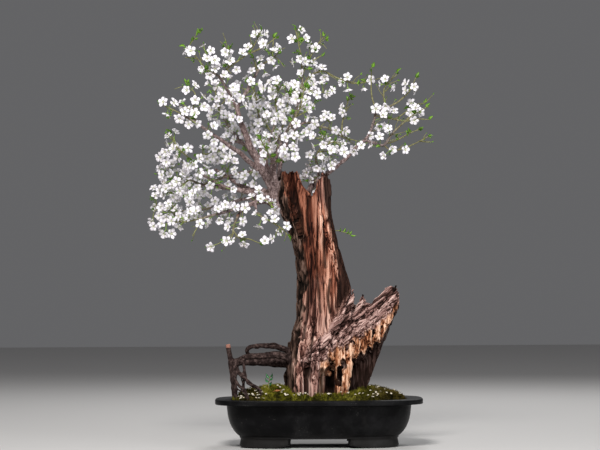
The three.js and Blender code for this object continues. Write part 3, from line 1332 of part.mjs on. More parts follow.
// The origin lies under the middle of the whole, on the ground.
const whole = new THREE.Box3().setFromObject(tree);
const middle = whole.getCenter(new THREE.Vector3());
tree.position.set(-middle.x, -middle.y, -whole.min.z);
tree.updateMatrixWorld(true);

export default tree;
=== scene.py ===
"""A cherry plum bonsai in blossom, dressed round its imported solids. Metres, +Z up, front at -Y."""

import json
import math

import bmesh
import bpy
import numpy as np
from mathutils import Matrix, Vector, noise

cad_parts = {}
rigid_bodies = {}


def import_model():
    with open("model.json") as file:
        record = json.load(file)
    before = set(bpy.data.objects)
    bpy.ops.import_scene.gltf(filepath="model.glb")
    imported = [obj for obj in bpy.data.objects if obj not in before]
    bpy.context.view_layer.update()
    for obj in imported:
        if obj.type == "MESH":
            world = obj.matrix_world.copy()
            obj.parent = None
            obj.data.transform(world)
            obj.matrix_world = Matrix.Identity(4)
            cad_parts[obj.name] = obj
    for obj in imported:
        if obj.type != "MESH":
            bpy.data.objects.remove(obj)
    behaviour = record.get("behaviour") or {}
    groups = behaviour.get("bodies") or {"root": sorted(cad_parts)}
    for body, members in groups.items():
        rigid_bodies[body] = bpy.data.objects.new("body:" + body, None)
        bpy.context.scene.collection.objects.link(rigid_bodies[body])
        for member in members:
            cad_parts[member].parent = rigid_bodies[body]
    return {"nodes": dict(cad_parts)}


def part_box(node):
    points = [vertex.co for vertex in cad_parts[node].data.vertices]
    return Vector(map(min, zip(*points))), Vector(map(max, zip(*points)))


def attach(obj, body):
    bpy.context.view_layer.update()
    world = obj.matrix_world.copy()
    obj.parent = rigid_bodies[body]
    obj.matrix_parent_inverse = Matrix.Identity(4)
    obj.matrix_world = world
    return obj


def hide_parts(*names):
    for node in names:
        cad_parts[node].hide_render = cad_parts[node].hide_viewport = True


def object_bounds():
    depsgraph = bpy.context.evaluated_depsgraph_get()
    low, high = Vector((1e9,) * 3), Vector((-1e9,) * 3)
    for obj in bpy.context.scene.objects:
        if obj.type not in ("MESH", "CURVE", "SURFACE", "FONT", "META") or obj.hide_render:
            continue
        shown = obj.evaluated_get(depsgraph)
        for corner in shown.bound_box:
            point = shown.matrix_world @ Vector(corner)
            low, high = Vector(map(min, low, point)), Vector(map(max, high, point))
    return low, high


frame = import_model()
cad_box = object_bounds()
noise.seed_set(12)  # without it every run would bend the wood another way

MM = 0.001
POT_LOW, POT_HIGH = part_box("pot")
POT_MIDDLE = Vector(((POT_LOW.x + POT_HIGH.x) / 2, (POT_LOW.y + POT_HIGH.y) / 2, 0))

# Sizes in millimetres, as in the part

POT_HALF_LENGTH = 207
POT_HALF_DEPTH = 118
POT_HEIGHT = 107
POT_CORNER = 3.4  # how square the oblong is, where 2 is an ellipse
LIP_OVERHANG = 26
LIP_THICKNESS = 11.5
LIP_INSET = 10
FLOOR_TOP = 31
FLOOR_UNDER = 20
BASE_INSET = 30
BAND_HEIGHT = 5
FOOT_WALL = 16
FOOT_CUTOUT_HALF_LENGTH = 70
FOOT_CUTOUT_HALF_DEPTH = 34
DRAIN_RADIUS = 10
DRAIN_X = 95

BLOOM_RADIUS = 11.8
LEAF_LENGTH = 15
SIDE_WAY_RADIUS = 1.9
TWIG_RADIUS = 1.5
TIP_RADIUS = 0.9
TWIG_TRIES = 400
TWIG_CLEAR = 8  # between a twig drawn by rule and all other wood
TWIG_GAP = 12  # between two twigs on one way
GROUND = 100  # the height of the moss, roughly

# Sizes in millimetres, and counts, of what is only in the scene

POT_SIDES = 168
DRAIN_SIDES = 40
FOOT_STEPS = 25
FOOT_SCROLL = 6  # how high the scrolled ends of a foot rise
BLOOM_GAP = 18  # between the middles of two blossoms, before a crowd gets too full for it
BLOOM_TRIES = 60
STALK_REACH = (5, 22)  # how near the wood that bears a blossom passes it, seen from the front
PAST_SOLIDS = 4  # how far a fine twig may reach past the box of the solids
FINE_TWIG_RADIUS = 1.3
FINE_TWIGS = 230
PETALS_EACH = 5
STAMENS_EACH = 11
FALLEN_PETALS = 96
PETAL_LIFT = 0.0052  # of a fallen petal over the moss, in metres, so that it lies on the tufts
WOOD_GRID = 0.0024  # of the skin over the trunk, in metres
THIRDS = (0, 2.094, 4.189)  # the corners of a thread or a blade of three sides, in radians
TUFT_HEIGHT = 7
TUFTS_A_METRE = 90000.0  # on a square metre of moss

# The live wood: radius at the start and at the end, and the way between, from the pot's middle
LIMBS = [
    (13, 4.8, [[-84, 4, 530], [-98, 0, 566], [-108, -8, 592], [-126, -24, 626], [-148, -38, 666],
        [-162, -46, 700], [-173, -50, 729], [-179, -50, 754], [-176, -46, 772]]),
    (6, 3.8, [[-133, -28, 621], [-173, -70, 656], [-200, -95, 673], [-232, -115, 695]]),
    (9, 3.2, [[-90, 6, 552], [-124, 12, 574], [-166, 40, 583], [-189, 55, 597], [-206, 62, 609],
        [-234, 70, 628]]),
    (9, 3.8, [[-88, -2, 544], [-126, 0, 562], [-166, -5, 574], [-196, -12, 578], [-225, -20, 583]]),
    (3.2, 2.2, [[-124, -14, 618], [-141, 8, 621], [-181, 34, 616], [-219, 62, 606]]),
    (9, 3.6, [[-82, -6, 528], [-110, -14, 549], [-130, -22, 549], [-155, -35, 542], [-182, -50, 533]]),
    (8, 3.4, [[-92, 10, 568], [-118, 24, 619], [-126, 42, 652], [-130, 55, 675]]),
    (8, 3.4, [[-92, -2, 568], [-108, -8, 608], [-115, -12, 634], [-117, -18, 659]]),
    (6, 3.4, [[-88, 14, 572], [-104, 30, 619], [-104, 44, 641], [-101, 58, 659]]),
    (6, 3.4, [[-86, -8, 566], [-97, -22, 608], [-95, -34, 634], [-90, -48, 659]]),
    (6, 3.2, [[-82, 20, 566], [-86, 24, 621], [-76, 26, 666], [-63, 24, 706], [-50, 20, 745]]),
    (3.2, 2.6, [[-65, 24, 700], [-43, 40, 724], [-24, 50, 734]]),
    (7, 3.4, [[-32, 18, 536], [-16, 34, 583], [5, 38, 603], [28, 36, 619], [59, 30, 644], [97, 20, 682],
        [110, 16, 688]]),
    (4.6, 3.2, [[-133, -26, 637], [-158, 20, 670], [-184, 60, 702]]),
    (7, 3.4, [[-84, 16, 546], [-112, 26, 560], [-142, 50, 560], [-176, 80, 558]]),
    (4.4, 3.4, [[-178, -50, 750], [-188, -62, 772], [-197, -71, 790]]),
    (4, 3.2, [[-203, -14, 580], [-220, -26, 588], [-236, -34, 596]]),
    (4, 3.0, [[92, 20, 677], [110, 25, 694], [122, 30, 712]]),
    (3.6, 2.6, [[-166, 34, 682], [-186, 58, 690], [-200, 70, 688]]),
    (3.4, 2.4, [[-158, -37, 541], [-172, -50, 526], [-180, -57, 514]]),
    (3.2, 2.2, [[-140, -27, 547], [-138, -38, 530], [-134, -44, 520]]),
    (3.6, 2.6, [[4, 37, 604], [2, 26, 618], [0, 10, 630]]),
    (3.6, 2.8, [[-125, 40, 650], [-126, 56, 658], [-126, 72, 663]]),
    (3.4, 2.6, [[-95, -32, 632], [-100, -48, 640], [-104, -62, 644]]),
]

# The bare roots on the left
ROOTS = [
    (7, 5.5, [[-188, 26, 96], [-198, 24, 180], [-205, 22, 229]]),
    (9, 13, [[-199, 24, 186], [-162, 30, 190], [-112, 26, 189], [-48, 12, 184]]),
    (8, 4, [[-48, 0, 205], [-86, -4, 221], [-106, -6, 225], [-131, -4, 226], [-154, -2, 223],
        [-162, 2, 214], [-155, 14, 200]]),
    (9, 4.2, [[-48, -14, 182], [-71, -18, 199], [-99, -20, 205], [-128, -20, 203], [-154, -20, 203],
        [-171, -22, 198], [-183, -24, 187], [-188, -28, 170], [-189, -34, 149], [-184, -38, 96]]),
    (4, 3, [[-184, -24, 182], [-180, -34, 168], [-166, -48, 154], [-150, -62, 141], [-131, -76, 128],
        [-121, -84, 96]]),
    (3.4, 2.6, [[-168, -20, 200], [-168, -32, 186], [-167, -38, 160], [-171, -42, 96]]),
    (3.4, 3, [[-192, -30, 160], [-180, -56, 140], [-164, -72, 126], [-153, -80, 96]]),
]

# The sprays: radius at the start, twigs drawn by rule, and the ways. The first way carries on a limb
SPRAYS = {
    "spray_leader": (4.8, 3, [
        [[-176, -46, 772], [-162, -40, 790], [-148, -34, 817], [-135, -30, 839], [-124, -28, 857],
         [-104, -34, 868], [-88, -40, 881]],
    ]),
    "spray_upper_left": (3.4, 2, [
        [[-197, -71, 790], [-218, -92, 824], [-243, -108, 837], [-272, -124, 871], [-290, -130, 886]],
        [[-218, -92, 824], [-194, -84, 848], [-173, -78, 864], [-155, -72, 878], [-140, -68, 898],
         [-126, -64, 929]],
        [[-155, -72, 878], [-135, -60, 886], [-112, -54, 900], [-92, -50, 916]],
    ]),
    "spray_left": (3.8, 1, [
        [[-232, -115, 695], [-268, -130, 719], [-304, -140, 740], [-344, -140, 760]],
        [[-268, -130, 719], [-274, -120, 752], [-270, -112, 783], [-284, -108, 801]],
    ]),
    "spray_low_left": (3.8, 2, [
        [[-225, -20, 583], [-244, -25, 584], [-263, -32, 589], [-288, -40, 598], [-324, -48, 603]],
    ]),
    "spray_low_left_back": (2.2, 2, [
        [[-219, 62, 606], [-246, 80, 600], [-270, 95, 592], [-302, 105, 585], [-344, 110, 576]],
    ]),
    "spray_mid_left": (3.2, 2, [
        [[-236, -34, 596], [-266, -55, 616], [-286, -75, 644], [-306, -88, 662], [-324, -95, 677]],
    ]),
    "spray_bottom": (3.6, 2, [
        [[-182, -50, 533], [-214, -60, 524], [-252, -68, 513], [-291, -74, 504], [-324, -78, 502]],
    ]),
    "spray_hanging": (2.4, 0, [
        [[-180, -57, 514], [-189, -63, 490], [-191, -66, 472], [-210, -72, 458]],
        [[-190, -64, 484], [-176, -60, 467], [-153, -58, 464], [-130, -58, 455]],
    ]),
    "spray_under": (2.2, 0, [
        [[-134, -44, 520], [-122, -52, 512], [-106, -56, 504], [-79, -60, 486], [-68, -62, 472]],
    ]),
    "spray_back_a": (3.4, 2, [
        [[-130, 55, 675], [-132, 75, 711], [-133, 90, 745], [-140, 100, 783], [-148, 105, 814]],
    ]),
    "spray_centre_a": (3.4, 2, [
        [[-117, -18, 659], [-114, -18, 675], [-97, -26, 718], [-92, -34, 749], [-94, -40, 783],
         [-86, -44, 814]],
    ]),
    "spray_back_b": (3.4, 2, [
        [[-101, 58, 659], [-93, 70, 682], [-86, 88, 709], [-76, 104, 740], [-63, 116, 801]],
    ]),
    "spray_centre_b": (3.4, 2, [
        [[-90, -48, 659], [-76, -66, 691], [-61, -80, 718], [-40, -92, 752], [-29, -100, 801]],
    ]),
    "spray_top": (3.2, 1, [
        [[-50, 20, 745], [-40, 16, 783], [-34, 12, 819], [-34, 10, 846], [-37, 6, 885], [-48, 2, 938]],
        [[-34, 10, 837], [-18, 20, 873], [2, 30, 909], [16, 34, 927]],
        [[-38, 15, 796], [-25, 22, 826], [-9, 30, 842], [16, 38, 848], [47, 46, 833], [92, 52, 821],
         [147, 58, 834]],
    ]),
    "spray_right_back": (2.6, 0, [
        [[-24, 50, 734], [2, 62, 724], [24, 70, 720], [59, 82, 701], [97, 90, 691]],
        [[57, 81, 703], [57, 84, 722], [61, 88, 749], [72, 90, 785]],
    ]),
    "spray_fan_low": (3.4, 0, [
        [[110, 16, 688], [130, 8, 682], [150, 2, 677], [171, -6, 704], [209, -16, 738],
         [245, -22, 760]],
        [[152, 1, 680], [174, 6, 686], [209, 10, 704], [230, 12, 712]],
        [[148, 3, 678], [166, 6, 666], [194, 4, 668], [214, 0, 677], [250, -4, 695]],
    ]),
    "spray_fan_high": (3.0, 0, [
        [[122, 30, 712], [130, 33, 736], [138, 36, 756], [179, 34, 774], [209, 30, 800],
         [225, 26, 832]],
        [[134, 35, 746], [170, 48, 740], [191, 52, 747], [222, 56, 770], [246, 58, 776]],
        [[170, 48, 740], [196, 56, 736], [227, 62, 740], [256, 66, 739]],
        [[136, 36, 752], [126, 32, 783], [123, 28, 803], [123, 24, 826], [124, 20, 855]],
        [[156, 35, 764], [151, 26, 796], [157, 22, 814], [182, 18, 839]],
    ]),
    "spray_over_trunk": (2.6, 2, [
        [[0, 10, 630], [-4, -20, 648], [9, -40, 670], [36, -52, 682]],
    ]),
    "spray_mid_back": (3.2, 2, [
        [[-184, 60, 702], [-207, 90, 734], [-225, 112, 765], [-238, 132, 832]],
    ]),
    "spray_mid_inner": (2.6, 1, [
        [[-200, 70, 688], [-220, 84, 680], [-240, 94, 666], [-259, 102, 648]],
    ]),
    "spray_low_back": (3.4, 2, [
        [[-176, 80, 558], [-212, 105, 549], [-254, 125, 540], [-299, 140, 536], [-344, 150, 538],
         [-380, 154, 538]],
    ]),
    "spray_rear": (2.8, 0, [
        [[-126, 72, 663], [-126, 90, 667], [-117, 135, 688], [-112, 168, 716]],
    ]),
    "spray_front": (2.6, 0, [
        [[-104, -62, 644], [-112, -92, 655], [-117, -120, 666], [-126, -155, 680]],
    ]),
}


# The right prong as plain wood, for the twigs over it to keep clear of
PRONG = (29, 25, [[18, 0, 550], [18, 2, 600]])

# Toes and columns at the base, and upright shards behind the wing
SPLINTERS = [
    (15, 9, [[-38, -34, 240], [-43, -52, 180], [-44, -65, 135], [-44, -65, 96]]),
    (20, 8, [[-8, -34, 250], [-14, -58, 190], [-11, -77, 135], [-11, -77, 96]]),
    (8, 6, [[38, -52, 200], [37, -66, 165], [36, -68, 130], [36, -68, 96]]),
    (10, 9, [[64, -46, 210], [60, -62, 170], [53, -71, 135], [53, -71, 96]]),
    (13, 3, [[36, -30, 262], [48, -36, 292], [57, -36, 318], [62, -36, 342]]),
    (14, 3, [[52, -22, 268], [66, -26, 300], [74, -24, 326], [78, -22, 350]]),
    (12, 2.5, [[74, -2, 270], [90, -2, 306], [98, 0, 326], [101, 0, 342]]),
    (12, 4, [[-58, 20, 230], [-68, 30, 170], [-72, 35, 130], [-72, 35, 96]]),
    (16, 7, [[20, 36, 230], [30, 54, 170], [34, 65, 130], [34, 65, 96]]),
]

# The small plants: the way of the stem, and each leaf's foot and reach
TRUNK_SHOOT = (
    [[20, 30, 476], [40, 46, 485], [58, 50, 482], [74, 52, 476]],
    [[48, 48, 484, 4, -6, 9], [58, 50, 482, 6, 6, 9], [64, 51, 479, 7, -5, 8], [74, 52, 476, 12, 2, -3],
     [70, 52, 478, 8, 5, 6]],
)
SEEDLING = (
    [[-112, -48, 108], [-112, -48, 140], [-111, -50, 150], [-109, -52, 158]],
    [[-111.4, -49.2, 146, -9, -3, 9], [-111, -50, 150, 10, -2, 7], [-109, -52, 157, 5, -6, 10],
     [-110, -51, 154, -8, 4, 9], [-112, -48, 139, 6, 8, 6]],
)


# Where blossoms crowd: X and Z from the pot's middle, how far round that, and how many more stand there
CROWDS = [
    (-248, 873, 18, 3), (-238, 842, 20, 6), (-202, 814, 25, 6), (-194, 783, 22, 6), (-238, 760, 25, 6),
    (-279, 752, 22, 4), (-158, 716, 22, 5), (-194, 729, 20, 4), (-148, 770, 20, 4), (-104, 801, 22, 5),
    (-63, 801, 20, 5), (-22, 814, 22, 6), (-14, 778, 20, 4), (22, 796, 18, 3), (-18, 850, 20, 4),
    (-112, 752, 20, 4), (-58, 688, 25, 5), (-63, 662, 22, 5), (27, 738, 20, 3), (-14, 706, 20, 4),
    (72, 670, 20, 4), (158, 760, 22, 5), (153, 711, 20, 4), (112, 688, 18, 3), (158, 666, 16, 2),
    (-328, 662, 22, 5), (-338, 626, 25, 7), (-310, 603, 20, 4), (-238, 662, 20, 4), (-202, 626, 22, 5),
    (-158, 612, 22, 4), (-374, 576, 18, 5), (-338, 572, 22, 5), (-292, 580, 20, 4), (-148, 572, 22, 5),
    (-112, 558, 18, 3), (-14, 616, 20, 5), (0, 585, 16, 2), (-364, 540, 20, 4), (-328, 526, 22, 6),
    (-288, 540, 20, 3), (-374, 504, 18, 2), (-333, 495, 20, 3), (-153, 531, 18, 3), (-112, 526, 18, 3),
    (-112, 464, 11, 2), (-243, 450, 14, 1), (-27, 927, 16, 2), (-153, 882, 18, 2), (-198, 711, 22, 4),
    (-153, 706, 22, 5), (-112, 760, 20, 4), (-108, 720, 18, 3), (-243, 666, 20, 3), (-202, 666, 20, 3),
    (-338, 621, 20, 4), (-292, 621, 20, 3), (-328, 576, 20, 4), (-288, 576, 22, 5), (-292, 531, 22, 5),
    (-333, 536, 18, 3), (-202, 540, 18, 3), (-238, 540, 18, 2), (22, 666, 20, 4), (22, 630, 18, 3),
    (-338, 490, 18, 2), (-198, 585, 18, 2), (-112, 796, 18, 2), (-68, 806, 18, 2),
]

# Leafy shoots: X and Z of the tip, and how many pairs of leaves each bears
LEAFY = [
    (-252, 925, 4), (-266, 906, 3), (-209, 920, 1), (-216, 902, 1), (-191, 893, 3), (-241, 884, 1),
    (-272, 850, 3), (-290, 810, 3), (-250, 808, 3), (-207, 846, 3), (-189, 862, 3), (-158, 819, 2),
    (-146, 900, 1), (-150, 875, 1), (-315, 794, 1), (-130, 918, 1), (-108, 880, 2), (-47, 886, 4),
    (-72, 891, 1), (-74, 848, 3), (-29, 942, 1), (-20, 911, 2), (-4, 893, 3), (22, 918, 3),
    (-20, 872, 3), (-18, 848, 2), (-45, 828, 1), (-52, 815, 2), (-126, 803, 3), (-119, 790, 2),
    (-20, 796, 3), (38, 796, 4), (-2, 774, 2), (22, 898, 1), (-63, 763, 2), (122, 846, 3), (86, 792, 2),
    (94, 814, 1), (76, 740, 2), (70, 704, 1), (162, 738, 2), (142, 718, 3), (205, 704, 4),
    (178, 698, 2), (164, 660, 2), (220, 770, 2), (-326, 727, 3), (-310, 648, 3), (-288, 637, 3),
    (-263, 682, 2), (-218, 648, 3), (-218, 632, 2), (-248, 630, 2), (-250, 608, 4), (-266, 616, 2),
    (-200, 619, 1), (-166, 619, 3), (-166, 592, 3), (-220, 592, 3), (-241, 592, 1), (-166, 664, 2),
    (-196, 738, 3), (-236, 718, 1), (-158, 720, 1), (-386, 560, 2), (-344, 551, 1), (-86, 639, 3),
    (-72, 639, 4), (-58, 742, 3), (-40, 594, 2), (7, 709, 2), (18, 700, 2), (-90, 745, 2),
]

# Nodes as expressions


class Value:
    """A node's output that takes part in arithmetic."""

    def __init__(self, maker, socket):
        self.maker = maker
        self.socket = socket

    def math(self, operation, *values):
        return self.maker.node("ShaderNodeMath", {"operation": operation}, dict(enumerate(values)))

    def __add__(self, other):
        return self.math("ADD", self, other)

    def __radd__(self, other):
        return self.math("ADD", other, self)

    def __sub__(self, other):
        return self.math("SUBTRACT", self, other)

    def __rsub__(self, other):
        return self.math("SUBTRACT", other, self)

    def __mul__(self, other):
        return self.math("MULTIPLY", self, other)

    def __rmul__(self, other):
        return self.math("MULTIPLY", other, self)

    def most(self, other):
        return self.math("MAXIMUM", self, other)

    def size(self):
        return self.math("ABSOLUTE", self)

    def step(self, low, high):
        """0 below low, 1 above high, and smooth between."""
        values = {0: self, 1: low, 2: high, 3: 0.0, 4: 1.0}
        return self.maker.node("ShaderNodeMapRange", {"interpolation_type": "SMOOTHSTEP"}, values)


class Maker:
    """Adds nodes to a shader tree or a geometry tree."""

    def __init__(self, tree):
        self.tree = tree

    def node(self, kind, settings=None, inputs=None, out=0):
        """One output of a new node. Its settings are made first, then its values and links."""
        made = self.tree.nodes.new(kind)
        for name, value in (settings or {}).items():
            if name == "stops":
                self.set_stops(made.color_ramp, value)
            else:
                setattr(made, name, value)
        for name, value in (inputs or {}).items():
            if isinstance(value, Value):
                self.tree.links.new(value.socket, made.inputs[name])
            else:
                made.inputs[name].default_value = value
        return Value(self, made.outputs[out])

    @staticmethod
    def set_stops(ramp, stops):
        while len(ramp.elements) < len(stops):
            ramp.elements.new(0.5)
        for element, (place, color) in zip(ramp.elements, stops):
            element.position = place
            element.color = (*color, 1)

    def noise(self, where, scale, detail=3.0, roughness=0.55, distortion=0.0):
        inputs = {"Vector": where, "Scale": scale, "Detail": detail, "Roughness": roughness}
        return self.node("ShaderNodeTexNoise", {}, {**inputs, "Distortion": distortion})

    def cells(self, where, scale):
        return self.node("ShaderNodeTexVoronoi", {}, {"Vector": where, "Scale": scale})

    def stretch(self, vector, factors):
        return self.node("ShaderNodeVectorMath", {"operation": "MULTIPLY"}, {0: vector, 1: factors})

    def scaled(self, vector, factor):
        return self.node("ShaderNodeVectorMath", {"operation": "SCALE"}, {0: vector, "Scale": factor})

    def axis(self, vector, name):
        return self.node("ShaderNodeSeparateXYZ", {}, {0: vector}, "XYZ".index(name))

    def ramp(self, factor, stops):
        return self.node("ShaderNodeValToRGB", {"stops": stops}, {0: factor})

    def blend(self, factor, one, two):
        """The first colour where the factor is 0, and the second where it is 1."""
        return self.node("ShaderNodeMix", {"data_type": "RGBA"}, {0: factor, 6: one, 7: two}, 2)


class Finish(Maker):
    """A material with one Principled shader."""

    def __init__(self, name, color=(0.5, 0.5, 0.5), roughness=0.6, fixed=None):
        self.material = bpy.data.materials.new(name)
        self.material.use_nodes = True
        super().__init__(self.material.node_tree)
        self.shader = self.tree.nodes["Principled BSDF"]
        self.shader.inputs["Base Color"].default_value = (*color, 1)
        self.shader.inputs["Roughness"].default_value = roughness
        for socket, value in (fixed or {}).items():
            self.shader.inputs[socket].default_value = value

    def place(self):
        """Object coordinates."""
        return self.node("ShaderNodeTexCoord", {}, {}, 3)

    def attribute(self, name):
        return self.node("ShaderNodeAttribute", {"attribute_name": name}, {}, 2)

    def vector_attribute(self, name):
        return self.node("ShaderNodeAttribute", {"attribute_name": name}, {}, 1)

    def feed(self, socket, value):
        self.tree.links.new(value.socket, self.shader.inputs[socket])

    def bump(self, height, depth, strength=1.0):
        """Relief of some height in metres."""
        inputs = {"Height": height, "Distance": depth, "Strength": strength}
        self.feed("Normal", self.node("ShaderNodeBump", {}, inputs))


def rgb(color):
    return (*color, 1)


class Growing(Maker):
    """A geometry tree with named inputs, which ends in Realize Instances and Set Material."""

    def __init__(self, name, **inputs):
        super().__init__(bpy.data.node_groups.new(name, "GeometryNodeTree"))
        interface = self.tree.interface
        interface.new_socket("Geometry", in_out="INPUT", socket_type="NodeSocketGeometry")
        interface.new_socket("Geometry", in_out="OUTPUT", socket_type="NodeSocketGeometry")
        self.identifiers = {}
        self.values = inputs
        for label, value in inputs.items():
            kind = "NodeSocketInt" if isinstance(value, int) else "NodeSocketFloat"
            socket = interface.new_socket(label, in_out="INPUT", socket_type=kind)
            self.identifiers[label] = socket.identifier
        self.entry = self.tree.nodes.new("NodeGroupInput")
        self.exit = self.tree.nodes.new("NodeGroupOutput")

    def given(self, label):
        return Value(self, self.entry.outputs[label])

    def entry_geometry(self):
        return self.given("Geometry")

    def position(self):
        return self.node("GeometryNodeInputPosition")

    def normal(self):
        return self.node("GeometryNodeInputNormal")

    def named(self, name, kind="FLOAT"):
        return self.node("GeometryNodeInputNamedAttribute", {"data_type": kind}, {"Name": name})

    def store(self, geometry, name, value):
        inputs = {"Geometry": geometry, "Name": name, "Value": value}
        return self.node("GeometryNodeStoreNamedAttribute", {"data_type": "FLOAT"}, inputs)

    def shift(self, geometry, offset):
        return self.node("GeometryNodeSetPosition", {}, {"Geometry": geometry, "Offset": offset})

    def drawn(self, low, high, seed):
        """A number for each point, drawn by seed."""
        return self.node("FunctionNodeRandomValue", {}, {2: low, 3: high, 8: seed}, 1)

    def set_out(self, points, shapes, inputs):
        """Shapes of a collection set on points. The inputs say which one, how turned and how big."""
        parted = {"Collection": shapes, "Separate Children": True, "Reset Children": True}
        source = self.node("GeometryNodeCollectionInfo", {}, parted)
        placed = {0: points, 2: source, 3: True, **inputs}
        return self.node("GeometryNodeInstanceOnPoints", {}, placed)

    def finish(self, geometry, material, smooth=True):
        real = self.node("GeometryNodeRealizeInstances", {}, {0: geometry})
        shaded = self.node("GeometryNodeSetShadeSmooth", {}, {0: real, 2: smooth})
        coated = self.node("GeometryNodeSetMaterial", {}, {0: shaded, "Material": material})
        self.tree.links.new(coated.socket, self.exit.inputs[0])

    def grow(self, name, seed_mesh):
        """Runs the tree on a mesh, and gives the result back as a plain object."""
        carrier = bpy.data.objects.new(name + "_seed", seed_mesh)
        bpy.context.scene.collection.objects.link(carrier)
        modifier = carrier.modifiers.new("grow", "NODES")
        modifier.node_group = self.tree
        for label, value in self.values.items():
            modifier[self.identifiers[label]] = value
        return plain(carrier, name)


# Plain tools


def plain(carrier, name):
    """An object whose mesh is what the carrier's modifiers make. The carrier goes."""
    graph = bpy.context.evaluated_depsgraph_get()
    graph.update()
    mesh = bpy.data.meshes.new_from_object(carrier.evaluated_get(graph))
    mesh.name = name
    result = bpy.data.objects.new(name, mesh)
    bpy.context.scene.collection.objects.link(result)
    bpy.data.objects.remove(carrier)
    return result


def seated(piece, slot, *nodes):
    """A finished piece rides on the root, and takes the place of the nodes that it stands for."""
    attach(piece, "root")
    if nodes:
        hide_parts(*nodes)
    return piece


def in_frame(points):
    """Points in millimetres from the pot's middle, as metres in the frame."""
    return np.asarray(points, float) * MM + np.array(POT_MIDDLE)


def mesh_of(name, points, faces):
    mesh = bpy.data.meshes.new(name)
    mesh.from_pydata([tuple(p) for p in points], [], [tuple(f) for f in faces])
    mesh.validate()
    return mesh


def mesh_from(work, name):
    """A new mesh of what bmesh has worked on, which is then let go."""
    mesh = bpy.data.meshes.new(name)
    work.to_mesh(mesh)
    work.free()
    return mesh


def corners(mesh):
    """A mesh's points as rows of X, Y and Z."""
    flat = np.empty(len(mesh.vertices) * 3)
    mesh.vertices.foreach_get("co", flat)
    return flat.reshape(-1, 3)


def mark(mesh, name, values, kind="FLOAT"):
    """An attribute with a value, or a vector, for each point of a mesh."""
    layer = mesh.attributes.new(name, kind, "POINT")
    field = {"FLOAT": "value", "FLOAT_VECTOR": "vector"}[kind]
    layer.data.foreach_set(field, np.asarray(values).ravel())


def coated(mesh, material, smooth=True):
    mesh.materials.clear()
    mesh.materials.append(material)
    mesh.polygons.foreach_set("use_smooth", [smooth] * len(mesh.polygons))


def shown(name, mesh):
    piece = bpy.data.objects.new(name, mesh)
    bpy.context.scene.collection.objects.link(piece)
    return piece


def dice(seed):
    """The part's seeded draw of numbers from 0 to 1."""
    state = seed
    while True:
        state = (state * 1664525 + 1013904223) % 2**32
        yield state / 2**32


def turned_out(mesh):
    """Faces turned so that they point out of a closed mesh."""
    work = bmesh.new()
    work.from_mesh(mesh)
    bmesh.ops.remove_doubles(work, verts=work.verts, dist=1e-6)
    bmesh.ops.recalc_face_normals(work, faces=work.faces)
    work.to_mesh(mesh)
    work.free()


def joined(node_name):
    """A CAD node's mesh with its loose triangles joined at their corners."""
    work = bmesh.new()
    work.from_mesh(frame["nodes"][node_name].data)
    bmesh.ops.remove_doubles(work, verts=work.verts, dist=2e-6)
    work.verts.ensure_lookup_table()
    return work


def ring_faces(rings, sides):
    """Faces between rings of points, and a fan at each end to the two points that follow the rings."""
    around = [(i, (i + 1) % sides) for i in range(sides)]
    faces = []
    for r in range(rings - 1):
        low, high = r * sides, (r + 1) * sides
        faces += [(low + i, low + j, high + j, high + i) for i, j in around]
    last = (rings - 1) * sides
    faces += [(rings * sides, j, i) for i, j in around]
    faces += [(rings * sides + 1, last + i, last + j) for i, j in around]
    return faces


# The crown's ways, by the same rule as in the part


def way_length(points):
    return float(np.linalg.norm(np.diff(points, axis=0), axis=1).sum())


def on_way(points, arc):
    """The point at an arc length along a way, and the way's direction there."""
    left = arc
    for i in range(len(points) - 1):
        stretch = points[i + 1] - points[i]
        length = np.linalg.norm(stretch)
        if left <= length or i + 2 == len(points):
            along = stretch / length
            return points[i] + along * left, along
        left -= length


def any_direction(draw):
    """A direction in space, drawn evenly."""
    z = next(draw) * 2 - 1
    turn = next(draw) * 2 * math.pi
    flat = math.sqrt(1 - z * z)
    return np.array([flat * math.cos(turn), flat * math.sin(turn), z])


def unit(vector):
    return vector / np.linalg.norm(vector)


class Wood:
    """All wood of the crown as straight stretches, for twigs to keep clear of."""

    def __init__(self):
        self.starts, self.ends, self.radii = [], [], []

    def note(self, points, start, end):
        for i in range(len(points) - 1):
            self.starts.append(points[i])
            self.ends.append(points[i + 1])
            self.radii.append(start + (end - start) * (i + 0.5) / (len(points) - 1))

    def clear(self, spots, margin, foot, foot_reach):
        a, b, radii = map(np.array, (self.starts, self.ends, self.radii))
        along = b - a
        for spot in spots:
            if np.linalg.norm(spot - foot) < foot_reach:
                continue
            share = np.clip(((spot - a) * along).sum(1) / (along**2).sum(1), 0, 1)
            apart = np.linalg.norm(spot - (a + along * share[:, None]), axis=1)
            if (apart < radii + margin).any():
                return False
        return True


def parent_arc(ways, target):
    """The way that passes nearest to a point, and the arc length there."""
    best = (math.inf, None, 0)
    for k, way in enumerate(ways):
        whole = way_length(way["points"])
        for step in range(201):
            at, _ = on_way(way["points"], whole * step / 200)
            apart = np.linalg.norm(at - target)
            if apart < best[0]:
                best = (apart, k, whole * step / 200)
    return best[1], best[2]


def lay_ways():
    """The given ways of all sprays, then the twigs that leave them at a slant."""
    wood = Wood()
    for start, end, way in LIMBS + [PRONG]:
        wood.note(np.array(way, float), start, end)
    laid = {}
    for name, (start, _, given) in SPRAYS.items():
        ways = []
        for k, points in enumerate(given):
            points = np.array(points, float)
            host, arc = parent_arc(ways, points[0]) if k else (None, 0)
            first = start if k == 0 else SIDE_WAY_RADIUS
            ways.append({"points": points, "from": first, "to": TIP_RADIUS, "host": host, "arc": arc})
        for way in ways:
            wood.note(way["points"], way["from"], way["to"])
        laid[name] = ways
    for k, (name, (_, twigs, _)) in enumerate(SPRAYS.items()):
        draw_twigs(laid[name], twigs, dice(1000 + k), wood)
    return laid


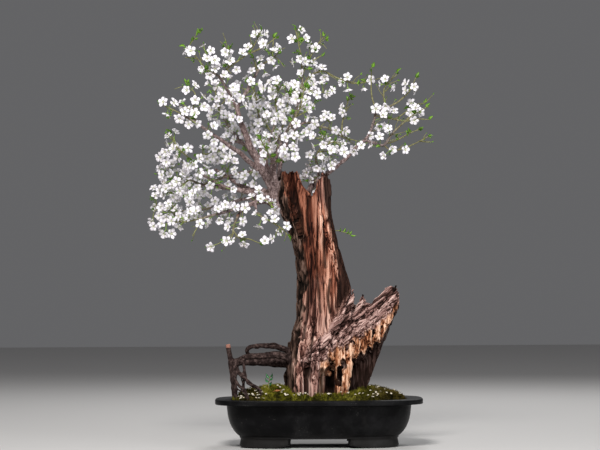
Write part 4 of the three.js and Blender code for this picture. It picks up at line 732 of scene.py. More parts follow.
def draw_twigs(ways, count, draw, wood):
    """Twigs drawn onto the given ways of a spray, clear of each other and of all other wood."""
    given = len(ways)
    for _ in range(TWIG_TRIES):
        if len(ways) >= given + count:
            return
        pick = int(next(draw) * given)
        host = ways[pick]
        arc = way_length(host["points"]) * (0.15 + 0.75 * next(draw))
        at, along = on_way(host["points"], arc)
        out = unit(np.cross(any_direction(draw), along))
        slant = along * 0.65 + out * 0.8
        slant[2] += 0.12
        slant = unit(slant)
        length = 26 + 24 * next(draw)
        middle, tip = at + slant * (length * 0.55), at + slant * length
        apart = all(w["host"] != pick or abs(w["arc"] - arc) > TWIG_GAP for w in ways)
        if apart and wood.clear([middle, tip], TWIG_CLEAR, at, 5):
            points = np.array([at, tip])
            twig = {"points": points, "from": TWIG_RADIUS, "to": TIP_RADIUS, "host": pick, "arc": arc}
            ways.append(twig)
            wood.note(points, TWIG_RADIUS, TIP_RADIUS)


def smooth_way(points, step, wander=0.0, seed=0):
    """A way as close points on a smooth curve through its own, crooked a little between its ends."""
    points = np.asarray(points, float)
    before = np.vstack([2 * points[0] - points[1], points, 2 * points[-1] - points[-2]])
    spots = []
    for i in range(len(points) - 1):
        p0, p1, p2, p3 = before[i : i + 4]
        count = max(int(np.linalg.norm(p2 - p1) / step), 1)
        for t in np.arange(count) / count:
            square = (2 * p0 - 5 * p1 + 4 * p2 - p3) * t**2
            cube = (3 * p1 - p0 - 3 * p2 + p3) * t**3
            spots.append(0.5 * (2 * p1 + (p2 - p0) * t + square + cube))
    spots.append(points[-1])
    spots = np.array(spots)
    if wander:
        share = np.linspace(0, 1, len(spots))
        hold = np.minimum(1, 6 * share * (1 - share))
        for k, spot in enumerate(spots):
            sway = noise.noise_vector(Vector(spot) * 0.045 + Vector((seed, 0, 0)))
            spots[k] = spot + np.array(sway) * wander * hold[k]
    return spots


# What grows on the sprays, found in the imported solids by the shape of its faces

TIP_TO_NOTCH = 0.6223  # of a blossom's radius
NOTCH_TO_NOTCH = 0.7759
NOTCH_SPAN = 1.2554  # between two notches that aren't neighbours
PETAL_BASE = (0.0075, 0.011)  # from notch to notch, in metres
LEAF_SIDE = 0.6042  # from a leaf's tip to its side, of its length
LEAF_ACROSS = 0.5
LIKENESS = 0.004  # how far two ratios may differ and still be taken as one


def neighbours(vertices, known):
    """The vertices next to some others, but for the known ones."""
    found = {edge.other_vert(v) for v in vertices for edge in v.link_edges}
    return found - known - set(vertices)


def middle_of(vertices):
    return np.mean([v.co for v in vertices], axis=0)


def petal_faces(work):
    """Triangles of a petal's tip between two notches: (tip, notch, notch)."""
    for face in work.faces:
        for k in range(3):
            tip, one, two = (face.verts[(k + i) % 3] for i in range(3))
            legs = [(tip.co - one.co).length, (tip.co - two.co).length]
            base = (one.co - two.co).length
            even = abs(legs[0] - legs[1]) < LIKENESS * base
            alike = abs(legs[0] / base - TIP_TO_NOTCH / NOTCH_TO_NOTCH) < LIKENESS
            if even and alike and PETAL_BASE[0] < base < PETAL_BASE[1]:
                yield tip, one, two


def bloom(at, face, side, radius, foot, neck):
    """A blossom's middle, the way it faces, one petal's side, its radius, and the ends of its stalk."""
    turn = Matrix([side, np.cross(face, side), face]).transposed()
    return {"at": at, "turn": turn, "radius": radius, "face": face, "foot": foot, "neck": neck}


def find_blossoms(work):
    """The blossoms of a spray: middle, turn as a matrix, radius, face, and both ends of the stalk."""
    by_notch = {}
    for petal in petal_faces(work):
        by_notch.setdefault(petal[1], []).append(petal)
        by_notch.setdefault(petal[2], []).append(petal)
    done = set()
    blossoms = []
    for first in by_notch:
        if first in done:
            continue
        notches, tips, queue = set(), set(), [first]
        while queue:
            notch = queue.pop()
            if notch not in notches:
                notches.add(notch)
                for tip, one, two in by_notch[notch]:
                    tips.add(tip)
                    queue += [one, two]
        done |= notches
        if len(notches) != PETALS_EACH or len(tips) != PETALS_EACH:
            continue
        middle = middle_of(notches)
        spans = np.linalg.norm([v.co - w.co for v in notches for w in notches], axis=1)
        radius = spans.max() / NOTCH_SPAN
        face = unit(middle_of(tips) - middle)
        reach = np.array(min(tips, key=lambda v: v.index).co) - middle
        side = unit(reach - face * np.dot(reach, face))
        rim = notches | tips
        neck = neighbours(rim, set())
        base = neighbours(neck, rim)
        at = middle - face * 0.06 * radius
        blossoms.append(bloom(at, face, side, radius, middle_of(base), middle_of(neck)))
    return blossoms


def find_leaves(work):
    """The leaves of a spray: foot, direction, flat direction and length."""
    leaves = []
    for tip in work.verts:
        around = [edge.other_vert(tip) for edge in tip.link_edges]
        if len(around) != 4 or len(tip.link_faces) != 4:
            continue
        pairs = [(a, b) for i, a in enumerate(around) for b in around[i + 1 :]]
        for one, two in pairs:
            sides = [(tip.co - one.co).length, (tip.co - two.co).length]
            across = (one.co - two.co).length
            even = abs(sides[0] - sides[1]) < LIKENESS * across
            if even and abs(across / sides[0] - LEAF_ACROSS / LEAF_SIDE) < LIKENESS:
                foot = middle_of(neighbours(around, {tip}))
                out = unit(np.array(tip.co) - foot)
                flat = unit(np.array(one.co - two.co))
                leaves.append({"at": foot, "out": out, "flat": flat, "length": sides[0] / LEAF_SIDE})
                break
    return leaves


def read_sprays():
    blossoms, leaves = [], []
    for name in SPRAYS:
        work = joined(name)
        blossoms += find_blossoms(work)
        leaves += find_leaves(work)
        work.free()
    return blossoms, leaves


class Bearers:
    """Spots along the thin wood that can bear a stalk or a twig: place, direction and radius."""

    def __init__(self, laid):
        self.at, self.along, self.radius = [], [], []
        ways = [(way["points"], way["from"], way["to"]) for ways in laid.values() for way in ways]
        ways += [(np.array(way, float), start, end) for start, end, way in LIMBS if start < 5]
        for points, start, end in ways:
            self.note(points, start, end)

    def note(self, points, start, end):
        whole = way_length(points)
        for arc in np.arange(4, whole, 4):
            at, along = on_way(points, arc)
            self.at.append(at)
            self.along.append(along)
            self.radius.append(start + (end - start) * arc / whole)

    def near(self, x, z, low, high):
        """The spots that pass a point as seen from the front, and the nearest one."""
        at = np.array(self.at)
        apart = np.hypot(at[:, 0] - x, at[:, 2] - z)
        return np.flatnonzero((apart > low) & (apart < high)), int(apart.argmin())


def bowed_way(start, end, rise):
    """A way from start to end that bows up in its middle, by a share of its length."""
    bow = (start + end) / 2 + np.array([0, 0, rise * np.linalg.norm(end - start)])
    return np.array([start, bow, end])


def crowd_blossoms(laid, blossoms):
    """The rest of the blossoms, where the crown is whitest, with the fine twigs that bear them."""
    draw = dice(4711)
    bearers = Bearers(laid)
    taken = [(np.array(b["at"]) - np.array(POT_MIDDLE)) / MM for b in blossoms]
    added, twigs = [], []
    for x, z, reach, count in CROWDS:
        for _ in range(count):
            for attempt in range(BLOOM_TRIES):
                turn, out = 2 * math.pi * next(draw), reach * math.sqrt(next(draw))
                spot_x, spot_z = x + out * math.cos(turn), z + out * math.sin(turn)
                near, nearest = bearers.near(spot_x, spot_z, *STALK_REACH)
                if not len(near):
                    start = bearers.at[nearest]
                    end = np.array([spot_x, start[1] + 16 * (next(draw) - 0.6), spot_z])
                    end = start + (end - start) * max(0.3, 1 - 11 / np.linalg.norm(end - start))
                    way = bowed_way(start, end, 0.08)
                    twigs.append((way, min(FINE_TWIG_RADIUS, bearers.radius[nearest]), 0.7))
                    bearers.note(way, 1.2, 0.7)
                    near, nearest = bearers.near(spot_x, spot_z, 0, 26)
                pick = near[int(next(draw) * len(near))] if len(near) else nearest
                foot = bearers.at[pick]
                centre = np.array([spot_x, foot[1] + 30 * (next(draw) - 0.62), spot_z])
                least = BLOOM_GAP - 0.08 * attempt
                if all(np.linalg.norm(centre - other) > least for other in taken):
                    break
            taken.append(centre)
            outward = unit(centre - foot)
            to_front = np.array([0.12 * (spot_x + 40) / 200, -0.7, 0.12])
            face = unit(outward * 0.5 + to_front + any_direction(draw) * 0.4)
            side = unit(np.cross(face, any_direction(draw)))
            radius = BLOOM_RADIUS * (0.86 + 0.22 * next(draw)) * MM
            at = Vector(in_frame([centre])[0])
            stalk_foot = in_frame([foot + outward * bearers.radius[pick] * 0.5])[0]
            added.append(bloom(at, face, side, radius, stalk_foot, np.array(at) - face * radius * 0.3))
    return added, twigs, bearers


def fine_twigs(bearers):
    """Short bare twigs that leave the thin wood at a slant, each with two leaf buds at its tip."""
    draw = dice(515)
    twigs, buds = [], []
    low, high = cad_box
    middle = np.array([-40, 0, 640])
    while len(twigs) < FINE_TWIGS:
        pick = int(next(draw) * len(bearers.at))
        at, along = bearers.at[pick], bearers.along[pick]
        across = unit(np.cross(any_direction(draw), along))
        outward = unit(at - middle)
        slant = unit(along * 0.6 + across * 0.7 + outward * 0.35 + np.array([0, 0, 0.15]))
        length = 10 + 24 * next(draw)
        tip = at + slant * length
        room = in_frame([tip])[0]
        past = PAST_SOLIDS * MM
        if any(room[k] < low[k] - past or room[k] > high[k] + past for k in range(3)):
            continue
        bend = at + slant * length * 0.5 + any_direction(draw) * length * 0.07
        twigs.append((np.array([at, bend, tip]), min(1.0, bearers.radius[pick]), 0.5))
        buds.append((Vector(room), unit(tip - bend), 0.28 + 0.24 * next(draw)))
    return twigs, buds


def leafy_twigs(bearers):
    """Young leafy shoots that reach out of the crown, with leaves along their outer half."""
    draw = dice(616)
    twigs, buds = [], []
    for x, z, count in LEAFY:
        _, nearest = bearers.near(x, z, 0, 0)
        start = bearers.at[nearest]
        end = np.array([x, start[1] - 10 - 16 * next(draw), z])
        reach = np.linalg.norm(end - start)
        way = bowed_way(start, end, 0.1)
        twigs.append((way, min(FINE_TWIG_RADIUS, bearers.radius[nearest]), 0.6))
        for n in range(count):
            at, along = on_way(way, reach * (0.45 + 0.6 * n / count))
            out = unit(along + any_direction(draw) * 0.9 + np.array([0, -0.3, 0.35]))
            buds.append((Vector(in_frame([at])[0]), out, 0.52 + 0.36 * next(draw)))
    return twigs, buds


# Finishes


def rightward(made, at, low, high):
    """0 left of a place and 1 right of it, both given in metres from the pot's middle."""
    return made.axis(at, "X").step(POT_MIDDLE.x + low, POT_MIDDLE.x + high)


def pot_finish():
    """Dark unglazed clay with a thin worn glaze, and lime marks where water has run."""
    made = Finish("pot_clay", roughness=0.5, fixed={"Specular IOR Level": 0.07})
    at = made.place()
    mottle = made.noise(at, 26, 5, 0.65)
    cloud = made.noise(at, 7, 3, 0.5)
    speck = made.noise(at, 330, 2, 0.5).step(0.6, 0.7) * made.noise(at, 24, 3, 0.6).step(0.52, 0.66)
    runs = made.noise(made.stretch(at, (1, 1, 0.12)), 34, 4, 0.6).step(0.56, 0.78)
    low = 1 - made.axis(at, "Z").step(0.018, 0.034)
    base = made.ramp(mottle * 0.6 + cloud * 0.4, [
        (0.34, (0.002, 0.002, 0.0024)), (0.5, (0.0046, 0.0046, 0.005)), (0.66, (0.014, 0.014, 0.0148))])
    marked = made.blend(runs * 0.08 + low * 0.12, base, rgb((0.1, 0.094, 0.088)))
    made.feed("Base Color", made.blend(speck * 0.7, marked, rgb((0.09, 0.086, 0.08))))
    made.feed("Roughness", 0.3 + mottle * 0.24 + runs * 0.12)
    made.bump(mottle * 0.6 + made.noise(at, 260, 3) * 0.4, 0.0012, 0.35)
    return made.material


def wood_finish():
    """Live bark, heartwood and the split wood of the wing, told apart by masks on the mesh. Painted
    shade darkens the grooves, the slots, the wood under the wing and the right flank, painted highlight
    lightens the ridges and the column's lit edge, and painted light lightens the toe.
    """
    made = Finish("old_wood", roughness=0.8, fixed={"Specular IOR Level": 0.08})
    grain = made.vector_attribute("grain")
    relief = made.attribute("relief")
    at = made.place()
    fine = made.noise(made.stretch(grain, (1, 1, 0.04)), 340, 4, 0.7, 0.1)
    streak = made.noise(made.stretch(grain, (1, 1, 0.03)), 150, 3, 0.65, 0.15)
    cracks = (streak * 2 - 1).size().step(0.0, 0.1)
    blotch = made.noise(at, 16, 3, 0.6)
    # Partly painted light: the carved relief makes the grooves darker as painted shade and the ridges
    # lighter as painted highlight, over the grain's own streaks.
    tone = (relief * 0.4 + fine * 0.36 + streak * 0.24) * (0.72 + cracks * 0.28)
    heart = made.ramp(tone, [
        (0.36, (0.006, 0.0015, 0.001)), (0.45, (0.045, 0.012, 0.007)), (0.52, (0.15, 0.046, 0.026)),
        (0.6, (0.34, 0.13, 0.078)), (0.72, (0.62, 0.31, 0.21))])
    ashen = made.ramp(tone, [
        (0.35, (0.012, 0.004, 0.003)), (0.43, (0.1, 0.04, 0.03)), (0.49, (0.31, 0.155, 0.125)),
        (0.56, (0.62, 0.37, 0.3)), (0.66, (0.94, 0.69, 0.58))])
    swept = made.ramp(tone, [
        (0.38, (0.006, 0.003, 0.002)), (0.47, (0.07, 0.032, 0.026)), (0.53, (0.26, 0.14, 0.122)),
        (0.6, (0.58, 0.38, 0.335)), (0.7, (0.92, 0.7, 0.62))])
    golden = made.ramp(tone, [
        (0.36, (0.012, 0.003, 0.001)), (0.44, (0.17, 0.05, 0.019)), (0.51, (0.54, 0.24, 0.12)),
        (0.63, (0.95, 0.64, 0.46))])
    # Painted highlight: pale salmon for the lit right edge of the column.
    painted_highlight = made.ramp(tone, [
        (0.37, (0.008, 0.002, 0.001)), (0.44, (0.13, 0.036, 0.02)), (0.5, (0.47, 0.18, 0.11)),
        (0.57, (0.88, 0.48, 0.34)), (0.67, (1.0, 0.74, 0.6))])
    up = made.axis(at, "Z")
    low = (1 - up.step(0.25, 0.39)) * (0.7 + up.step(0.12, 0.19) * 0.3)
    prong = up.step(0.49, 0.56) * rightward(made, at, -0.006, 0.008)
    # Painted light: the front toe is painted paler, against the shade that the hanging teeth cast on it.
    painted_light_toe = (1 - up.step(0.14, 0.2)) * rightward(made, at, -0.046, -0.034)
    painted_light_toe = painted_light_toe * (1 - rightward(made, at, -0.004, 0.008))
    worn = (blotch.step(0.52, 0.78) * 0.4).most(low * 0.7)
    column = made.blend(worn.most(prong * 0.42), heart, ashen)
    # The lit mask lays the painted highlight over the column.
    edge = made.blend(made.attribute("lit") * 0.96, column, painted_highlight)
    wing = made.blend(made.attribute("wing"), edge, swept)
    broken = made.blend(made.attribute("gold"), made.blend(painted_light_toe * 0.7, wing, ashen), golden)
    # Painted shade: near black in the slots and under the wing's broken edge.
    with_painted_shade = made.blend(made.attribute("dark") * 0.88, broken, rgb((0.012, 0.006, 0.004)))
    # Painted shade: near black on the trunk's right flank, which faces away from the light.
    flank = made.blend(made.attribute("flank") * 0.92, with_painted_shade, rgb((0.016, 0.008, 0.006)))
    ridges = made.noise(made.stretch(at, (1, 1, 0.16)), 210, 4, 0.65, 0.5)
    # The bark's relief also gives painted shade in its grooves and painted highlight on its ridges.
    crust = made.ramp(relief * 0.55 + ridges * 0.45, [
        (0.36, (0.004, 0.0026, 0.0018)), (0.52, (0.02, 0.011, 0.0076)), (0.63, (0.076, 0.043, 0.031)),
        (0.77, (0.27, 0.172, 0.136))])
    barked = made.blend(made.attribute("bark"), flank, crust)
    mottle = made.noise(at, 170, 4, 0.65)
    pores = made.noise(at, 460, 3, 0.6)
    limb = made.ramp(mottle * 0.35 + pores * 0.3 + ridges * 0.35, [
        (0.36, (0.022, 0.013, 0.012)), (0.46, (0.12, 0.081, 0.077)), (0.53, (0.25, 0.182, 0.174)),
        (0.64, (0.54, 0.43, 0.415))])
    limbs = made.blend(made.attribute("limb"), barked, limb)
    # A very dark colour for the roots.
    dark_root_tone = made.ramp(mottle, [
        (0.32, (0.007, 0.004, 0.0035)), (0.5, (0.034, 0.021, 0.019)), (0.72, (0.14, 0.096, 0.086))])
    rooted = made.blend(made.attribute("root"), limbs, dark_root_tone)
    made.feed("Base Color", made.blend(made.attribute("cut") * 0.8, rooted, rgb((0.42, 0.2, 0.15))))
    made.feed("Roughness", 0.7 + fine * 0.2)
    made.bump(fine * 0.6 + ridges * 0.4, 0.0016, 0.8)
    return made.material


def bark_finish():
    """Bark of the twigs, from grey where they start to olive at their tips."""
    made = Finish("young_bark", roughness=0.7, fixed={"Specular IOR Level": 0.2})
    tip = made.attribute("tip")
    mottle = made.noise(made.place(), 190, 4, 0.65)
    old = made.ramp(mottle, [
        (0.32, (0.06, 0.043, 0.04)), (0.5, (0.18, 0.135, 0.13)), (0.7, (0.38, 0.31, 0.3))])
    young = made.ramp(mottle, [(0.3, (0.12, 0.1, 0.045)), (0.7, (0.3, 0.31, 0.12))])
    made.feed("Base Color", made.blend(tip.step(0.35, 0.95), old, young))
    made.bump(mottle, 0.0012, 0.7)
    return made.material


def petal_finish():
    """White that lets light through, green at the petal's foot and a little mauve towards its rim."""
    through = {"Subsurface Weight": 0.25, "Subsurface Radius": (0.004, 0.004, 0.004)}
    made = Finish("petal", roughness=0.62, fixed=through)
    streak = made.noise(made.place(), 900, 2, 0.5)
    pale = made.ramp(made.attribute("reach"), [
        (0.0, (0.74, 0.78, 0.5)), (0.2, (0.87, 0.85, 0.86)), (0.4, (0.9, 0.865, 0.925)),
        (1.0, (0.95, 0.915, 0.985))])
    veins = (streak * 0.5 + made.attribute("across") * 0.3) * 0.16
    made.feed("Base Color", made.blend(veins, pale, rgb((0.78, 0.72, 0.82))))
    return made.material


def heart_finish():
    """Green cup and sepals, pale threads and yellow anthers, told apart by a mark on the mesh."""
    made = Finish("blossom_heart", roughness=0.55)
    made.feed("Base Color", made.ramp(made.attribute("part"), [
        (0.1, (0.24, 0.36, 0.08)), (0.35, (0.74, 0.78, 0.5)), (0.5, (0.86, 0.88, 0.76)),
        (0.9, (0.82, 0.6, 0.2))]))
    return made.material


def leaf_finish():
    """Young green, paler along the rib."""
    made = Finish("young_leaf", roughness=0.45, fixed={"Specular IOR Level": 0.25})
    rib = 1 - made.attribute("across").step(0.0, 0.4)
    mottle = made.noise(made.place(), 70, 3)
    green = made.ramp(mottle, [(0.3, (0.03, 0.105, 0.004)), (0.7, (0.14, 0.32, 0.02))])
    made.feed("Base Color", made.blend(rib * 0.5, green, rgb((0.42, 0.56, 0.12))))
    return made.material


def moss_finish():
    """Moss darkened by painted shade between its blades and bright at their tips, and browner on the
    right.
    """
    made = Finish("moss", roughness=0.95, fixed={"Specular IOR Level": 0.05})
    at = made.place()
    patch = made.noise(at, 26, 4, 0.65)
    clumps = made.noise(at, 110, 3, 0.6)
    grains = made.noise(at, 600, 3, 0.7)
    tone = patch * 0.35 + clumps * 0.4 + grains * 0.25
    green = made.ramp(tone, [
        (0.38, (0.02, 0.022, 0.003)), (0.46, (0.09, 0.09, 0.011)), (0.54, (0.29, 0.27, 0.022)),
        (0.64, (0.72, 0.66, 0.12))])
    brown = made.ramp(tone, [
        (0.38, (0.004, 0.0028, 0.001)), (0.48, (0.024, 0.0155, 0.005)), (0.6, (0.15, 0.1, 0.032))])
    dry = rightward(made, at, 0.055, 0.15) * 0.85 + patch.step(0.56, 0.72) * 0.15
    litter = rightward(made, at, -0.19, -0.172) * (1 - rightward(made, at, -0.14, -0.118))
    bright = made.blend(dry.most(litter * 0.8), green, brown)
    # Painted shade at the foot of each blade, fading to none at its tip; the carpet has no such mark and
    # takes the painted shade.
    blade = made.attribute("blade") * 0.88 + 0.12
    made.feed("Base Color", made.blend(blade, rgb((0.006, 0.005, 0.0018)), bright))
    made.bump(grains, 0.0015, 0.8)
    return made.material


def soil_finish():
    """Dark grit."""
    made = Finish("grit_soil", roughness=0.95)
    grit = made.cells(made.place(), 330)
    made.feed("Base Color", made.ramp(grit, [(0.1, (0.02, 0.013, 0.009)), (0.7, (0.12, 0.085, 0.06))]))
    made.bump(grit, 0.001, 0.8)
    return made.material


def mottled_finish(name, roughness, scale, detail, stops):
    """A plain mottled surface, for the dried leaf, the fallen petals and the seedling."""
    made = Finish(name, roughness=roughness)
    made.feed("Base Color", made.ramp(made.noise(made.place(), scale, detail), stops))
    return made.material


# The pot


def outline(half_length, half_depth, count, start=0.0, end=2 * math.pi):
    """A rounded oblong, or a stretch of one, as rows of X and Y."""
    closed = end - start > 6.28
    angles = start + (end - start) * np.arange(count) / (count if closed else count - 1)
    c, s = np.cos(angles), np.sin(angles)
    x = half_length * np.sign(c) * np.abs(c) ** (2 / POT_CORNER)
    y = half_depth * np.sign(s) * np.abs(s) ** (2 / POT_CORNER)
    return np.column_stack([x, y])


def lofted(name, rings):
    """A mesh through rings with the same number of points, closed at both ends by a fan."""
    points = np.vstack([*rings, rings[0].mean(0), rings[-1].mean(0)])
    mesh = mesh_of(name, in_frame(points), ring_faces(len(rings), len(rings[0])))
    turned_out(mesh)
    return mesh


def pot_profile():
    """Inset from the body's face and height, from under the floor round the lip to the inside."""
    under, top = POT_HEIGHT - LIP_THICKNESS, POT_HEIGHT
    base, floor, rim = BASE_INSET, FLOOR_UNDER, -LIP_OVERHANG
    return [
        (base + 40, floor), (base + 0.6, floor), (base - 0.8, floor + 0.4), (base - 1.6, floor + 1.4),
        (base - 1.6, floor + BAND_HEIGHT - 1), (base - 2, floor + BAND_HEIGHT),
        (base - 3.4, floor + BAND_HEIGHT + 0.4),
        (22.5, 29), (17, 35), (11.4, 43.5), (7, 53), (4, 63), (2, 73), (0.7, 84),
        (0, under - 4), (0, under - 3.4), (-1.2, under - 3), (-1.2, under - 1.6), (-0.2, under - 1.2),
        (-3, under), (rim + 1, under + 0.5), (rim + 0.2, under + 0.9), (rim, under + 1.8),
        (rim, top - 2), (rim + 0.3, top - 1.1), (rim + 1.2, top - 0.4), (rim + 2.4, top - 0.1),
        (rim + 5, top - 0.2), (LIP_INSET - 2, top - 0.4), (LIP_INSET - 0.6, top - 0.9),
        (LIP_INSET, top - 2.2), (LIP_INSET + 0.3, top - 9), (LIP_INSET + 3, 70), (LIP_INSET + 12, 46),
        (base + 12, FLOOR_TOP), (base + 50, FLOOR_TOP),
    ]


def pot_foot(corner):
    """A skirt foot round a corner of the base, with scrolled ends and a soft lower edge."""
    length, depth = POT_HALF_LENGTH - BASE_INSET + 1, POT_HALF_DEPTH - BASE_INSET + 1
    start = math.asin((FOOT_CUTOUT_HALF_DEPTH / depth) ** (POT_CORNER / 2))
    end = math.acos((FOOT_CUTOUT_HALF_LENGTH / length) ** (POT_CORNER / 2))
    turn = np.array([-1 if corner in (1, 2) else 1, -1 if corner > 1 else 1])
    share = np.linspace(0, 1, FOOT_STEPS)
    scroll = FOOT_SCROLL * np.maximum(0, 1 - np.minimum(share, 1 - share) * 6) ** 1.5
    head = FLOOR_UNDER + 2  # a little way into the floor
    section = [
        (1, head), (0, 15), (-1.4, 8), (-2, 3), (-1.6, 0.9), (0, 0), (FOOT_WALL - 2, 0), (FOOT_WALL, 1),
        (FOOT_WALL, head),
    ]
    rings = []
    for k in range(FOOT_STEPS):
        ring = []
        for inset, z in section:
            flat = outline(length - inset, depth - inset, FOOT_STEPS, start, end)[k] * turn
            ring.append([*flat, z if z == head else max(z, scroll[k])])
        rings.append(np.array(ring))
    return lofted("foot", rings)


def build_pot(material):
    """The wall with its lip, the four feet joined to it, and the two drain holes drilled through."""
    rings = []
    for inset, z in pot_profile():
        ring = outline(POT_HALF_LENGTH - inset, POT_HALF_DEPTH - inset, POT_SIDES)
        rings.append(np.column_stack([ring, np.full(POT_SIDES, z)]))
    body = shown("pot_wall", lofted("pot_wall", rings))
    drills = []
    for x in (-DRAIN_X, DRAIN_X):
        angles = np.linspace(0, 2 * math.pi, DRAIN_SIDES, endpoint=False)
        circle = np.column_stack([x + DRAIN_RADIUS * np.cos(angles), DRAIN_RADIUS * np.sin(angles)])
        ends = [np.column_stack([circle, np.full(DRAIN_SIDES, z)]) for z in (-10, 60)]
        drills.append(shown("drill", lofted("drill", ends)))
    feet = [shown("foot", pot_foot(corner)) for corner in range(4)]
    for tool in feet + drills:
        cut = body.modifiers.new("cut", "BOOLEAN")
        cut.operation = "UNION" if tool in feet else "DIFFERENCE"
        cut.object, cut.solver = tool, "EXACT"
    piece = plain(body, "pot_dressed")
    for tool in feet + drills:
        bpy.data.objects.remove(tool)
    coated(piece.data, material)
    return seated(piece, "pot", "pot")


# The trunk


def tube(way, start, end, sides, rough=0.0, flat_end=False):
    """Points and faces of a round tube along close points, from one radius to the other."""
    radii = start + (end - start) * np.linspace(0, 1, len(way))
    along = np.gradient(way, axis=0)
    along /= np.linalg.norm(along, axis=1)[:, None]
    side = unit(np.cross(along[0], (0.31, 0.22, 0.92)))
    angles = 2 * math.pi * np.arange(sides) / sides
    rings = []
    for spot, way_on, radius in zip(way, along, radii):
        side = unit(side - way_on * np.dot(side, way_on))
        other = np.cross(way_on, side)
        ring = spot + radius * (np.cos(angles)[:, None] * side + np.sin(angles)[:, None] * other)
        if rough:
            lumps = [noise.noise(Vector(p) * (0.9 / max(radius, 2))) for p in ring]
            ring = spot + (ring - spot) * (1 + rough * np.array(lumps))[:, None]
        rings.append(ring)
    tip = way[-1] + along[-1] * (0 if flat_end else radii[-1] * 0.8)
    points = np.vstack([*rings, way[0] - along[0] * radii[0] * 0.4, tip])
    return points, ring_faces(len(way), sides)


def gathered(parts):
    """Points and faces of several parts as one list each."""
    points, faces, first = [], [], 0
    for own_points, own_faces in parts:
        points.append(own_points)
        faces += [tuple(first + i for i in face) for face in own_faces]
        first += len(own_points)
    return np.vstack(points), faces


def held(values):
    """Values held between 0 and 1."""
    return np.clip(values, 0, 1)


def off_stretch(points, a, b):
    """How far along the stretch from a to b each point lies, 0 to 1, and how far off it."""
    share = held((points - a) @ (b - a) / ((b - a) @ (b - a)))
    return share, np.linalg.norm(points - (a + share[:, None] * (b - a)), axis=1)


def band(points, line, reach):
    """1 on a line drawn on the front of the trunk as X and Z, falling off softly to 0 at its reach."""
    line = np.array(line, float)
    apart = [off_stretch(points[:, (0, 2)], a, b)[1] for a, b in zip(line[:-1], line[1:])]
    return held(1.4 - 1.4 * np.min(apart, axis=0) / reach)


def off_skin(points, ways):
    """How far each point lies outside the skin of round wood."""
    apart = np.full(len(points), math.inf)
    for start, end, way in ways:
        way = np.array(way, float)
        for i, (a, b) in enumerate(zip(way[:-1], way[1:])):
            share, off = off_stretch(points, a, b)
            whole = (i + share) / (len(way) - 1)
            apart = np.minimum(apart, off - (start + (end - start) * whole))
    return apart


WING_SLANT = math.radians(38)
BARK_EDGE = [
    (96, -50), (187, -50), (252, -40), (358, -26), (430, -28), (486, -42), (548, -68), (640, -78),
]
WING_EDGE = [(96, -47), (128, -47), (198, -42), (228, -20), (250, 6), (288, 35), (328, 56), (372, 84)]
TOE_TOP = 188  # below it the wing's grain stands upright
# The broken edge of the wing: height and front by X
BROKEN_EDGE = [
    (0, 172, -58), (16, 190, -66), (38, 208, -75), (58, 216, -75), (81, 226, -70), (99, 238, -64),
    (119, 248, -57), (137, 262, -50), (154, 282, -42), (171, 300, -30), (184, 322, -14),
]
# Splinters that hang from it: X, top, foot, width, and how far the foot leans to the right
TEETH = [
    (6, 190, 152, 9, -2), (20, 212, 156, 11, 2), (38, 224, 128, 14, -2), (48, 214, 176, 7, 0),
    (58, 230, 192, 10, 1), (70, 236, 190, 10, 0), (68, 178, 98, 19, -14), (82, 244, 214, 9, 0),
    (90, 240, 206, 7, 1), (99, 256, 216, 13, 1), (113, 264, 230, 12, 2), (106, 246, 224, 7, 0),
    (126, 272, 240, 10, 1), (134, 270, 252, 8, 1), (142, 280, 252, 10, 2), (150, 288, 264, 9, 1),
    (158, 300, 276, 11, 2), (168, 308, 290, 10, 1), (28, 204, 172, 7, -1), (-2, 176, 150, 8, 0),
]
# Shards on the broken tops: foot, height, radius, and how far each leans to the right
SHARDS = [
    (-84, -6, 600, 20, 3.4, -2), (-74, -10, 606, 17, 3, 1), (-62, 8, 606, 18, 3.2, -1),
    (-50, -12, 604, 19, 3, 2), (-43, 4, 598, 19, 3.4, 1), (-36, -14, 578, 16, 3, -2),
    (-24, 2, 562, 20, 3.6, 2), (-9, -8, 552, 19, 3, -1), (-3, 6, 564, 20, 3.2, 2),
    (4, -10, 592, 15, 2.8, 1), (14, -2, 600, 17, 3.2, 2), (22, 8, 596, 20, 3, -2),
    (27, -8, 584, 20, 3, 1),
]
# The lit edge of the column, X by height: the painted highlight runs along it and the painted shade of
# the flank lies right of it.
LIT_EDGE = [(96, 26), (310, 30), (334, 37), (386, 41), (450, 34), (486, 23), (531, 13), (560, 8)]
# Slots in the front of the wood, sunk in and coloured with painted shade: the way as X and Z, and how
# wide
HOLLOWS = [
    ([(-66, 600), (-60, 570), (-46, 520), (-38, 460)], 15),
    ([(-38, 460), (-31, 420), (-22, 360), (-27, 300), (-36, 240)], 5),
    ([(-6, 430), (-3, 360), (5, 300)], 4),
    ([(14, 500), (12, 455), (16, 400)], 4),
    ([(27, 372), (22, 330), (27, 300)], 5),
    ([(-12, 270), (-20, 215), (-28, 150), (-28, 104)], 6),
    ([(-20, 560), (-24, 520), (-22, 470)], 4),
    ([(7, 172), (5, 104)], 7),
    ([(24, 196), (27, 150), (22, 104)], 11),
    ([(46, 176), (45, 140)], 6),
    ([(54, 192), (56, 178)], 6),
]


def tooth_ways():
    """Each hanging splinter: its radius at the top and at the foot, and its way in millimetres."""
    edge_x, _, edge_y = zip(*BROKEN_EDGE)
    for x, top, foot, width, lean in TEETH:
        front = np.interp(x, edge_x, edge_y)
        way = [
            [x, front + 9, top + 10], [x + lean * 0.3, front + 2, top - 4], [x + lean, front + 5, foot]]
        end = width * 0.2 if foot > GROUND else width * 0.45
        yield width / 2, end, way


